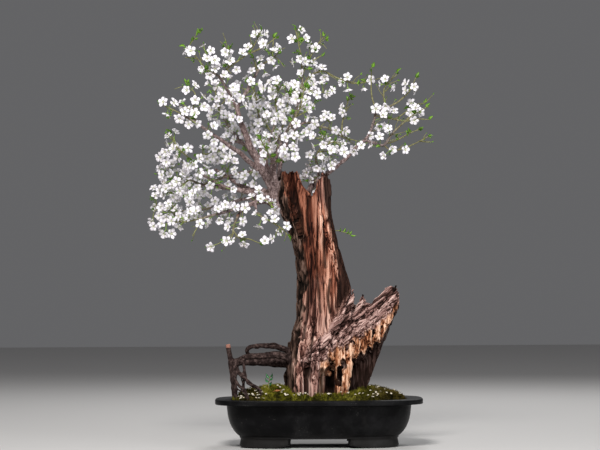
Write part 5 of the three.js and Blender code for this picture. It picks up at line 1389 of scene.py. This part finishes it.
def mark_wood(mesh):
    """Masks for live bark, wing, painted highlight and painted shade, limbs and roots, and the way the
    grain runs.
    """
    points = (corners(mesh) - np.array(POT_MIDDLE)) / MM
    x, y, z = points.T
    bark_edge = np.interp(z, *zip(*BARK_EDGE))
    wing_edge = np.interp(z, *zip(*WING_EDGE))
    lit_edge = np.interp(z, *zip(*LIT_EDGE))
    edge_x, edge_z, edge_y = zip(*BROKEN_EDGE)
    edge, edge_front = np.interp(x, edge_x, edge_z), np.interp(x, edge_x, edge_y)
    rag = np.array([noise.noise(Vector(p) * 0.05) for p in points])
    strand = np.array([noise.noise(Vector((p[0] * 0.13, p[1] * 0.13, p[2] * 0.018))) for p in points])
    front = held(-(y + 8) / 18)
    bark = held((bark_edge - x + 9 * rag + 7 * strand) / 3) * (z < 622)
    bark = np.maximum(bark, held((y - 22 + 10 * strand) / 6) * (x < 20 + 20 * rag))
    wing = held((x - wing_edge + 10 * strand) / 7) * (z < 372)
    below = held((edge + 3 - z) / 6) * (x > -6)
    proud = held((edge_front + 13 - y) / 5)
    gold = held((edge + 18 - z + 16 * strand) / 12) * proud * (x > 2)
    # Painted highlight in a band along the lit edge, on the front only, between 285 and 565 mm up.
    lit = held(1.1 - np.abs(x - lit_edge + 9) / 20 + 0.6 * strand) * front
    lit = lit * held((z - 285) / 60) * held((565 - z) / 40)
    slot = np.max([band(points, line, reach) for line, reach in HOLLOWS], axis=0) * front
    # Painted shade in the slots, and under the broken edge where the wood is set back from its front.
    dark = np.maximum(slot, below * (1 - proud))
    # Painted shade on the right flank beyond the lit edge, from 290 mm up, but not on the wing.
    flank = held((x - lit_edge - 2 + 5 * strand) / 6) * held((z - 290) / 40) * (1 - wing)
    cut = ((z > 222) & (z < 240) & (x < -190)).astype(float)
    limb = held((7 - off_skin(points, LIMBS)) / 3)
    limb = limb * ((x < -82) & (z > 520) | (z > 626) | (x > -30) & (y > 26))
    limb = np.maximum(limb, held((x + 34) / 4) * (y > 24) * (z > 575))
    root = held((5 - off_skin(points, ROOTS)) / 3) * (x < -62)
    masks = {
        "bark": bark, "wing": wing, "gold": gold, "lit": lit, "dark": dark, "slot": slot, "flank": flank,
        "limb": limb, "root": root, "cut": cut,
    }
    for name, values in masks.items():
        mark(mesh, name, values)
    c, s = math.cos(WING_SLANT), math.sin(WING_SLANT)
    slanted = np.column_stack([z * c - x * s, y, x * c + z * s])
    swept = (wing > 0.5) & (gold < 0.5) & (below < 0.5) & (z > TOE_TOP + 12 * rag)
    mark(mesh, "grain", np.where(swept[:, None], slanted, points) * MM, "FLOAT_VECTOR")


def carved(seed_mesh, material):
    """Fibres and splits in dead wood, ridges in live bark, and small lumps on limbs and roots."""
    tree = Growing(
        "carved_wood", column_depth=0.0062, wing_depth=0.0075, bark_depth=0.005, young_depth=0.0012,
        slot_depth=0.007)
    grain = tree.named("grain", "FLOAT_VECTOR")
    at = tree.position()
    bark, wing = tree.named("bark"), tree.named("wing")
    young = tree.named("limb").most(tree.named("root"))
    ropes = tree.noise(tree.stretch(grain, (1, 1, 0.07)), 46, 2, 0.5, 0.15)
    fibres = tree.noise(tree.stretch(grain, (1, 1, 0.06)), 150, 3, 0.6, 0.1)
    split = tree.noise(tree.stretch(grain, (1, 1, 0.055)), 62, 2, 0.5, 0.2)
    whole = (split * 2 - 1).size().step(0.0, 0.17)
    wood = ropes * 0.34 + fibres * 0.26 + whole * 0.4
    ridge = tree.noise(tree.stretch(at, (1, 1, 0.22)), 75, 2, 0.5, 0.6)
    plates = (ridge * 2 - 1).size().step(0.0, 0.22)
    lumps = tree.noise(at, 55, 3, 0.6)
    crust = plates * 0.6 + lumps * 0.4
    live = bark * (1 - young)
    dead = (1 - bark) * (1 - young)
    relief = wood * dead + crust * live + lumps * young
    deep = tree.given("column_depth") * (1 - wing) + tree.given("wing_depth") * wing
    depth = dead * deep + live * tree.given("bark_depth") + young * tree.given("young_depth")
    kept = tree.store(tree.entry_geometry(), "relief", relief)
    sunk = tree.named("slot") * tree.given("slot_depth")
    offset = tree.scaled(tree.normal(), (relief - 0.66) * depth * 2 - sunk)
    tree.finish(tree.shift(kept, offset), material)
    return tree.grow("trunk_dressed", seed_mesh)


def build_root_strands(material):
    """Thin roots that wind along the bare ones and hang down among them."""
    parts = []
    draw = dice(909)
    for k, (_, _, way) in enumerate(ROOTS[2:]):
        for n in range(4 if k < 2 else 2):
            line = smooth_way(way, 4, 7 + 4 * next(draw), 7 * k + n + 1)
            line = line + any_direction(draw) * 2.5
            first = int(next(draw) * 0.3 * len(line))
            line = line[first : len(line) - int(next(draw) * 0.12 * len(line))]
            line[-1][2] = min(line[-1][2], way[-1][2] + 4)
            parts.append(tube(line, 1.5 + 1.5 * next(draw), 1.0, 7, 0.3))
    points, faces = gathered(parts)
    mesh = mesh_of("root_strands", in_frame(points), faces)
    mark(mesh, "root", np.ones(len(points)))
    coated(mesh, material)
    return seated(shown("root_strands", mesh), "wood")


def build_trunk(material):
    """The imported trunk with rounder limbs, roots and splinters over it, made one skin and carved."""
    rough = mesh_from(joined("trunk"), "trunk_rough")
    round_wood = []
    for start, end, way in LIMBS:
        round_wood.append(tube(smooth_way(way, 5, 2.2, start), start + 0.7, end + 0.5, 12, 0.16))
    for start, end, way in ROOTS:
        sawn = way[-1][2] > 200  # the one that stands up as a cut post
        line = smooth_way(way, 5, 1.2, 40 + start)
        round_wood.append(tube(line, start + 0.7, end + 0.6, 12, 0.22, sawn))
    for start, end, way in SPLINTERS:
        round_wood.append(tube(smooth_way(way, 5, 1.0, 80 + start), start * 0.98, end, 10, 0.2))
    for x, y, foot, height, radius, lean in SHARDS:
        way = [[x, y, foot - 22], [x + lean * 0.3, y, foot], [x + lean, y - 1, foot + height]]
        round_wood.append(tube(smooth_way(way, 4, 0.5, x), radius * 1.6, 0.9, 7, 0.3))
    for start, end, way in tooth_ways():
        round_wood.append(tube(smooth_way(way, 4, 0.8, 60 + way[0][0]), start, end, 8, 0.35))
    points, faces = gathered(round_wood)
    carrier = shown("trunk_rough", rough)
    others = shown("round_wood", mesh_of("round_wood", in_frame(points), faces))
    with bpy.context.temp_override(active_object=carrier, selected_editable_objects=[carrier, others]):
        bpy.ops.object.join()
    skin = carrier.modifiers.new("skin", "REMESH")
    skin.mode, skin.voxel_size = "VOXEL", WOOD_GRID
    solid = plain(carrier, "trunk_skin")
    mark_wood(solid.data)
    mesh = solid.data
    bpy.data.objects.remove(solid)
    return seated(carved(mesh, material), "wood", "trunk")


# The crown


def build_twigs(laid, fine, material):
    """Every way of the sprays as a crooked round twig with small knots, and the fine twigs on them."""
    parts, tips = [], []
    for n, (way, start, end) in enumerate(fine):
        line = smooth_way(way, 5, 0.5, n)
        parts.append(tube(line, start, end, 6))
        tips.append(np.full(len(line) * 6 + 2, 0.95))
    for k, ways in enumerate(laid.values()):
        for n, way in enumerate(ways):
            line = smooth_way(way["points"], 4, 0.9, 10 * k + n)
            parts.append(tube(line, way["from"] + 0.35, way["to"], 8, 0.22))
            share = np.repeat(np.linspace(0, 1, len(line)), 8)
            young = 1 - (way["from"] + (way["to"] - way["from"]) * share - 0.9) / 3.2
            tips.append(np.clip([*young, young[0], young[-1]], 0, 1))
    points, faces = gathered(parts)
    mesh = mesh_of("twigs", in_frame(points), faces)
    mark(mesh, "tip", np.concatenate(tips))
    coated(mesh, material)
    return seated(shown("twigs", mesh), "wood")


def build_stalks(blossoms, material):
    """Thin green stalks that bow from the twig up to the cup of each blossom."""
    parts = []
    for blossom in blossoms:
        foot, neck = np.array(blossom["foot"]), np.array(blossom["neck"])
        middle = (foot + neck) / 2 - 0.12 * np.linalg.norm(neck - foot) * blossom["face"]
        line = smooth_way([foot, middle, neck], 0.003)
        points, faces = tube(line / MM, 0.62, 0.8, 6)
        parts.append((points * MM, faces))
    points, faces = gathered(parts)
    mesh = mesh_of("stalks", points, faces)
    coated(mesh, material)
    return seated(shown("stalks", mesh), "leaf")


def blade_shape(name, spread, rise, rows, sides, thickness):
    """A closed thin blade of unit length along +X, with half width, drag and rise by share."""
    upper, lower, points = {}, {}, []
    reach, across = [], []
    for r, share in enumerate(np.linspace(0, 1, rows + 1)):
        wide, drag = spread(share)
        for c, turn in enumerate(np.linspace(-1, 1, sides + 1)):
            rim = r in (0, rows) or c in (0, sides)
            for level, into in ((1, upper), (-1, lower)):
                if rim and level < 0:
                    into[r, c] = upper[r, c]
                    continue
                into[r, c] = len(points)
                z = rise(share, turn) + level * (0 if rim else thickness)
                points.append((share + drag * abs(turn) ** 2, wide * turn, z))
                reach.append(share)
                across.append(abs(turn))
    faces = []
    for r in range(rows):
        for c in range(sides):
            cell = [(r, c), (r + 1, c), (r + 1, c + 1), (r, c + 1)]
            faces.append(tuple(upper[p] for p in cell))
            faces.append(tuple(lower[p] for p in cell[::-1]))
    mesh = mesh_of(name, points, faces)
    mark(mesh, "reach", reach)
    mark(mesh, "across", across)
    turned_out(mesh)
    return mesh


def petal_shapes():
    """Three petals: one open, one cupped, and one with a curled rim."""
    def spread(share):
        wide = 0.07 + 0.4 * math.sin(math.pi * min(share, 0.97) ** 1.2) ** 0.7 * (0.5 + 0.6 * share)
        return wide, -0.12 * share**3

    def open_rise(share, turn):
        return 0.1 * share**1.5 - 0.05 * turn**2 * share + 0.02 * math.sin(9 * share + 2 * turn)

    def cupped_rise(share, turn):
        return 0.24 * math.sin(1.5 * share) + 0.13 * turn**2 * math.sin(math.pi * share)

    def curled_rise(share, turn):
        return 0.3 * share - 0.3 * share**4 + 0.08 * turn**2 - 0.05 * turn * share

    rises = (open_rise, cupped_rise, curled_rise)
    return [blade_shape(f"petal_{k}", spread, rise, 4, 4, 0.012) for k, rise in enumerate(rises)]


def stamen_shape(name, length, lean):
    """A thread of three sides with a small grain at its end, of unit length along +Z."""
    points = []
    for z in (0, 0.93):
        points += [(0.012 * math.cos(a) + lean * z, 0.012 * math.sin(a), z * length) for a in THIRDS]
    faces = [(0, 1, 4, 3), (1, 2, 5, 4), (2, 0, 3, 5), (2, 1, 0), (3, 4, 5)]
    top = Vector((lean, 0, length))
    first = len(points)
    for out in ((0.05, 0, 0), (-0.05, 0, 0), (0, 0.03, 0), (0, -0.03, 0), (0, 0, 0.06), (0, 0, -0.06)):
        points.append(tuple(top + Vector(out)))
    faces += [(first + x, first + y, first + z) for x in (0, 1) for y in (2, 3) for z in (4, 5)]
    mesh = mesh_of(name, points, faces)
    mark(mesh, "part", [0.42] * 3 + [0.6] * 3 + [0.95] * 6)
    turned_out(mesh)
    return mesh


def cup_shape():
    """The green cup behind a blossom with five sepals, of unit radius, looking along +Z."""
    sides = 9
    rings = [(0.07, -0.3), (0.14, -0.26), (0.19, -0.14), (0.2, -0.03), (0.12, 0.02)]
    sepal = [
        (0.16, -0.08, -0.07), (0.16, 0.08, -0.07), (0.44, 0, -0.09), (0.3, 0, -0.02), (0.3, 0, -0.1)]
    angles = np.linspace(0, 2 * math.pi, sides + 1)[:-1]
    points = [(radius * math.cos(a), radius * math.sin(a), z) for radius, z in rings for a in angles]
    last = (len(rings) - 1) * sides
    faces = ring_faces(len(rings), sides)[: last]  # one face closes each end, in place of the fan
    faces += [tuple(range(sides - 1, -1, -1)), tuple(range(last, last + sides))]
    marks = [0.1] * last + [0.35] * sides
    for k in range(PETALS_EACH):
        turn = 2 * math.pi * (k + 0.5) / PETALS_EACH
        c, s = math.cos(turn), math.sin(turn)
        first = len(points)
        points += [(x * c - y * s, x * s + y * c, z) for x, y, z in sepal]
        ring = [first, first + 2, first + 1]
        for a, b in zip(ring, ring[1:] + ring[:1]):
            faces += [(a, b, first + 3), (b, a, first + 4)]
        marks += [0.1] * len(sepal)
    mesh = mesh_of("cup", points, faces)
    mark(mesh, "part", marks)
    turned_out(mesh)
    return mesh


def leaf_shapes():
    """Two young leaves, folded along the rib and bowed back."""
    def spread(share):
        return 0.02 + 0.25 * math.sin(math.pi * share**0.85) ** 0.9, -0.06 * math.sin(math.pi * share)

    def bowed(share, turn):
        arch = math.sin(math.pi * share)
        return 0.13 * abs(turn) * arch + 0.16 * arch - 0.1 * share

    def waved(share, turn):
        arch, wave = math.sin(math.pi * share), 0.03 * math.sin(14 * share)
        return 0.2 * abs(turn) * arch + wave * abs(turn) - 0.15 * share**2

    return [blade_shape(f"leaf_{k}", spread, rise, 6, 4, 0.01) for k, rise in enumerate((bowed, waved))]


def gathered_shapes(name, meshes):
    """A hidden collection of shapes, for the trees to draw from."""
    shapes = bpy.data.collections.new(name)
    for mesh in meshes:
        shapes.objects.link(bpy.data.objects.new(mesh.name, mesh))
    return shapes


def let_go(shapes):
    """Takes the shapes out of the file again once everything is grown from them."""
    for shape in list(shapes.objects):
        bpy.data.objects.remove(shape)
    bpy.data.collections.remove(shapes)


def spread_shapes(name, places, meshes, material, slot, uneven=0.1, nodes=()):
    """Shapes set at places, each with its own turn, size and pick, and made uneven in size by seed."""
    shapes = gathered_shapes(name + "_shapes", meshes)
    mesh = mesh_of(name + "_places", [p[0] for p in places], [])
    mark(mesh, "turn", [tuple(Matrix(p[1]).to_euler()) for p in places], "FLOAT_VECTOR")
    mark(mesh, "measure", [p[2] for p in places])
    mark(mesh, "pick", [p[3] for p in places])
    tree = Growing(name, size=1.0, uneven=uneven, seed=11)
    drawn = tree.drawn(0.0, 1.0, tree.given("seed"))
    share = 1 + (drawn - 0.5) * 2 * tree.given("uneven")
    picks = tree.node("FunctionNodeFloatToInt", {}, {0: tree.named("pick")})
    turns = tree.node("FunctionNodeEulerToRotation", {}, {0: tree.named("turn", "FLOAT_VECTOR")})
    sizes = tree.named("measure") * share * tree.given("size")
    grown = tree.set_out(tree.entry_geometry(), shapes, {4: picks, 5: turns, 6: sizes})
    tree.finish(grown, material)
    piece = tree.grow(name, mesh)
    let_go(shapes)
    return seated(piece, slot, *nodes)


def tilted(turn, spin, tilt):
    """A frame of a blossom turned about its face, and then tipped up out of its own plane."""
    return np.array(turn @ Matrix.Rotation(spin, 3, "Z") @ Matrix.Rotation(-tilt, 3, "Y"))


def build_blossoms(blossoms, petal, heart):
    """Petals, threads and a cup for each blossom. The petals stand for all sprays."""
    draw = dice(77)
    petals, stamens, cups = [], [], []
    for blossom in blossoms:
        turn, at, radius = blossom["turn"], blossom["at"], blossom["radius"]
        opened = 0.08 + 0.5 * next(draw) ** 2
        for k in range(PETALS_EACH):
            spin = 2 * math.pi * k / PETALS_EACH + 0.16 * (next(draw) - 0.5)
            tilt = opened + 0.36 * (next(draw) - 0.5)
            kind = int(next(draw) * 3)
            foot = at + turn @ Vector((0.1 * math.cos(spin), 0.1 * math.sin(spin), 0)) * radius
            petals.append((foot, tilted(turn, spin, tilt), radius * 0.98, kind))
        for k in range(STAMENS_EACH):
            spin = 2 * math.pi * (k + next(draw)) / STAMENS_EACH
            tilt = 0.25 + 0.75 * next(draw)
            length = radius * (0.5 + 0.2 * next(draw))
            stamens.append((at, tilted(turn, spin, -tilt), length, int(next(draw) * 2)))
        cups.append((at, np.array(turn), radius, 0))
    threads = [stamen_shape("stamen_a", 1.0, 0.0), stamen_shape("stamen_b", 0.85, 0.12)]
    spread_shapes("petals", petals, petal_shapes(), petal, "blossom", nodes=tuple(SPRAYS), uneven=0.04)
    spread_shapes("stamens", stamens, threads, heart, "blossom")
    spread_shapes("cups", cups, [cup_shape()], heart, "leaf", uneven=0.0)


def frame_along(out, flat):
    """A turn that takes +X along out, and +Y as near to flat as it can."""
    out = unit(np.array(out))
    flat = unit(np.array(flat) - out * np.dot(out, flat))
    return Matrix([out, flat, np.cross(out, flat)]).transposed()


def build_leaves(leaves, buds, material):
    """Two leaves at each bud, and a big leaf with two small ones at each leaf of the sprays."""
    draw = dice(31)
    places = []
    for at, out, size in buds:
        flat = np.cross(out, any_direction(draw))
        for side in (-0.5, 0.45):
            lean = frame_along(out, flat) @ Matrix.Rotation(side * (0.6 + 0.8 * next(draw)), 3, "Z")
            length = size * LEAF_LENGTH * MM * (0.7 + 0.4 * next(draw))
            places.append((at, np.array(lean), length, int(next(draw) * 2)))
    for leaf in leaves:
        turn = frame_along(leaf["out"], leaf["flat"])
        places.append((leaf["at"], np.array(turn), leaf["length"], int(next(draw) * 2)))
        for side in (-1, 1):
            lean = turn @ Matrix.Rotation(side * (0.5 + 0.4 * next(draw)), 3, "Z")
            lean = lean @ Matrix.Rotation(0.9 * (next(draw) - 0.5), 3, "X")
            length = leaf["length"] * (0.42 + 0.22 * next(draw))
            places.append((leaf["at"], np.array(lean), length, int(next(draw) * 2)))
    spread_shapes("leaves", places, leaf_shapes(), material, "leaf", uneven=0.08)


def build_small_plant(name, plant, bark, leaf):
    """A stem with leaves of its own, for the shoot on the trunk and for the seedling."""
    stem, leaves = plant
    points, faces = tube(smooth_way(stem, 3), 1.5, 0.8, 8, 0.2)
    mesh = mesh_of(name + "_stem", in_frame(points), faces)
    mark(mesh, "tip", np.ones(len(points)))
    coated(mesh, bark)
    seated(shown(name + "_stem", mesh), "leaf", name)
    places = []
    for k, (x, y, z, *reach) in enumerate(leaves):
        turn = frame_along(reach, np.cross(reach, (0.1, -0.6, 0.8)))
        foot = in_frame([[x, y, z]])[0]
        places.append((Vector(foot), np.array(turn), np.linalg.norm(reach) * MM, k % 2))
    spread_shapes(name + "_leaves", places, leaf_shapes(), leaf, "leaf")


def build_dried_leaf(material):
    """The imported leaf, curled up at its sides and a little uneven."""
    low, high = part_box("dried_leaf")
    middle = (low + high) / 2
    work = joined("dried_leaf")
    bmesh.ops.subdivide_edges(work, edges=work.edges, cuts=5, use_grid_fill=True)
    mesh = mesh_from(work, "dried_leaf_dressed")
    for v in mesh.vertices:
        sway = noise.noise(v.co * 260) * 0.0006
        v.co.z += max(sway, 0) + 0.27 * max(0, abs(v.co.y - middle.y) - 0.002)
    coated(mesh, material)
    return seated(shown("dried_leaf_dressed", mesh), "dry_leaf", "dried_leaf")


# The ground


def build_moss(material):
    """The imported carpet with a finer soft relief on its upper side, but not round the dried leaf."""
    low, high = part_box("dried_leaf")
    leaf_middle = (low + high) / 2
    work = joined("moss")
    bmesh.ops.triangulate(work, faces=work.faces)
    bmesh.ops.subdivide_edges(work, edges=work.edges, cuts=7, use_grid_fill=True)
    bmesh.ops.recalc_face_normals(work, faces=work.faces)
    work.normal_update()
    open_ground = []
    for v in work.verts:
        apart = math.hypot(v.co.x - leaf_middle.x, v.co.y - leaf_middle.y)
        clear = min(1, max(0, (apart - 0.009) / 0.008))  # 0 under the leaf, and 1 from 17 mm off on
        open_ground.append(clear)
        if v.normal.z > 0.2:
            soft = noise.noise(v.co * 45) * 3.2 + noise.noise(v.co * 120) * 3
            v.co.z += (soft + 1.6) * MM * clear
    mesh = mesh_from(work, "moss_carpet")
    mark(mesh, "open_ground", open_ground)
    coated(mesh, material)
    return seated(shown("moss_carpet", mesh), "moss", "moss")


def tuft_shape(name, blades, seed):
    """A tuft of short pointed blades, three-sided, of unit height along +Z."""
    draw = dice(seed)
    points, faces = [], []
    for k in range(blades):
        turn = 2 * math.pi * (k + 0.6 * next(draw)) / blades
        lean = 0.15 + 0.5 * next(draw)
        height = 0.65 + 0.35 * next(draw)
        foot = Vector((0.16 * math.cos(turn), 0.16 * math.sin(turn), -0.1))
        one, two, three, tip = range(len(points), len(points) + 4)
        for a in THIRDS:
            out = Vector((0.11 * math.cos(a + turn), 0.11 * math.sin(a + turn), 0))
            points.append(tuple(foot + out))
        points.append((lean * math.cos(turn), lean * math.sin(turn), height))
        faces += [(three, two, one), (one, two, tip), (two, three, tip), (three, one, tip)]
    mesh = mesh_of(name, points, faces)
    # Painted shade at a blade's foot, none at its tip.
    mark(mesh, "blade", [0.0, 0.0, 0.0, 1.0] * blades)
    turned_out(mesh)
    return mesh


def build_tufts(carpet, material):
    """Small tufts strewn over the upper side of the moss, thicker in some patches."""
    shapes = gathered_shapes("tufts_shapes", [tuft_shape("tuft_a", 6, 3), tuft_shape("tuft_b", 5, 8)])
    tree = Growing("tufts", density=TUFTS_A_METRE, height=TUFT_HEIGHT * MM, seed=5)
    upward = tree.axis(tree.normal(), "Z").step(0.45, 0.5) * tree.named("open_ground")
    patch = tree.noise(tree.position(), 30, 2).step(0.3, 0.6)
    thick = upward * (0.35 + patch * 0.65) * tree.given("density")
    settings = {"distribute_method": "RANDOM"}
    inputs = {0: tree.entry_geometry(), 4: thick, 6: tree.given("seed")}
    strewn = tree.node("GeometryNodeDistributePointsOnFaces", settings, inputs)
    spin = tree.node("ShaderNodeCombineXYZ", {}, {2: tree.drawn(0.0, 6.28, 4)})
    turns = tree.node("FunctionNodeEulerToRotation", {}, {0: spin})
    sizes = tree.drawn(0.4, 1.5, 3) * tree.given("height")
    tree.finish(tree.set_out(strewn, shapes, {5: turns, 6: sizes}), material, False)
    piece = tree.grow("moss_tufts", carpet.data.copy())
    let_go(shapes)
    return seated(piece, "moss")


def build_fallen_petals(carpet, material):
    """Single petals that lie on the moss, more of them at the front and round the roots."""
    draw = dice(2024)
    low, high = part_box("moss")
    points = corners(carpet.data)
    trunk_low = np.array(POT_MIDDLE) + (-0.062, -0.07, 0)
    trunk_high = np.array(POT_MIDDLE) + (0.07, 0.06, 0)
    places = []
    while len(places) < FALLEN_PETALS:
        x = low.x + 0.012 + (high.x - low.x - 0.024) * next(draw) ** 1.35
        y = low.y + 0.006 + (high.y - low.y - 0.012) * next(draw) ** 2.2
        near = np.hypot(points[:, 0] - x, points[:, 1] - y) < 0.006
        under_trunk = trunk_low[0] < x < trunk_high[0] and trunk_low[1] < y < trunk_high[1]
        if near.sum() < 3 or under_trunk:
            continue
        turn = Matrix.Rotation(2 * math.pi * next(draw), 3, "Z")
        turn = Matrix.Rotation(0.1 + 0.5 * next(draw), 3, "X") @ turn
        top = points[near][:, 2].max() + PETAL_LIFT
        length = 0.0046 + 0.003 * next(draw)
        places.append((Vector((x, y, top)), np.array(turn), length, len(places) % 3))
    return spread_shapes("fallen_petals", places, petal_shapes(), material, "blossom")


# All pieces

clay = pot_finish()
wood = wood_finish()
bark = bark_finish()
petal = petal_finish()
heart = heart_finish()
green = leaf_finish()
mossy = moss_finish()
grit = soil_finish()
dried = mottled_finish("dry_leaf", 0.7, 260, 4, [
    (0.3, (0.22, 0.06, 0.015)), (0.7, (0.6, 0.24, 0.07))])
fallen = mottled_finish("fallen_petal", 0.7, 180, 3, [
    (0.35, (0.5, 0.4, 0.26)), (0.55, (0.76, 0.7, 0.58))])
deep_green = mottled_finish("seedling_leaf", 0.4, 150, 3, [
    (0.35, (0.012, 0.075, 0.022)), (0.65, (0.04, 0.22, 0.06))])
mesh_screen = Finish("screen_mesh", (0.02, 0.02, 0.022), 0.6).material

laid = lay_ways()
blossoms, leaves = read_sprays()
crowded, bearing, bearers = crowd_blossoms(laid, blossoms)
blossoms += crowded
bare, buds = fine_twigs(bearers)
leafy, more_buds = leafy_twigs(bearers)

build_pot(clay)
build_trunk(wood)
build_root_strands(wood)
build_twigs(laid, bearing + bare + leafy, bark)
build_blossoms(blossoms, petal, heart)
build_stalks(blossoms, green)
build_leaves(leaves, buds + more_buds, green)
build_small_plant("trunk_shoot", TRUNK_SHOOT, bark, green)
build_small_plant("seedling", SEEDLING, bark, deep_green)
build_dried_leaf(dried)
carpet = build_moss(mossy)
build_tufts(carpet, mossy)
build_fallen_petals(carpet, fallen)
coated(frame["nodes"]["soil"].data, grit, False)
for side in ("left", "right"):
    coated(frame["nodes"]["drain_screen_" + side].data, mesh_screen, False)

# The floor, the lights and the camera

ground = [(-6, -6, -0.0005), (6, -6, -0.0005), (6, 9, -0.0005), (-6, 9, -0.0005)]
floor = shown("floor", mesh_of("floor", ground, [(0, 1, 2, 3)]))
coated(floor.data, Finish("pale_floor", (0.62, 0.61, 0.6), 0.9).material)

world = bpy.data.worlds.new("studio")
world.use_nodes = True
backdrop = world.node_tree.nodes["Background"]
backdrop.inputs["Color"].default_value = (0.14, 0.14, 0.145, 1)
backdrop.inputs["Strength"].default_value = 0.9
bpy.context.scene.world = world

CROWN = Vector((POT_MIDDLE.x - 0.04, POT_MIDDLE.y, 0.5))


def soft_light(name, at, power, size, color=(1, 1, 1)):
    """A square lamp that looks at the crown."""
    lamp = bpy.data.lights.new(name, "AREA")
    lamp.energy, lamp.size, lamp.color = power, size, color
    stand = bpy.data.objects.new(name, lamp)
    bpy.context.scene.collection.objects.link(stand)
    stand.location = at
    stand.rotation_euler = (CROWN - Vector(at)).to_track_quat("-Z", "Y").to_euler()


soft_light("key", (-0.5, -2.9, 2.5), 132, 0.9, (1, 0.98, 0.96))
soft_light("fill", (2.2, -2.4, 1.3), 26, 1.8, (0.96, 0.98, 1))
soft_light("back", (0.6, 2.2, 2.4), 36, 1.4)

lens = bpy.data.cameras.new("camera")
lens.sensor_width, lens.lens = 36, 133
camera = bpy.data.objects.new("camera", lens)
bpy.context.scene.collection.objects.link(camera)
view_x = POT_MIDDLE.x - 0.0405
camera.location = (view_x, POT_MIDDLE.y - 5, 0.349)
look = Vector((view_x, POT_MIDDLE.y, 0.497)) - camera.location
roll = Matrix.Rotation(math.radians(-0.3), 3, "Z")
camera.rotation_euler = (look.to_track_quat("-Z", "Y").to_matrix() @ roll).to_euler()
bpy.context.scene.camera = camera
bpy.context.scene.view_settings.view_transform = "Standard"
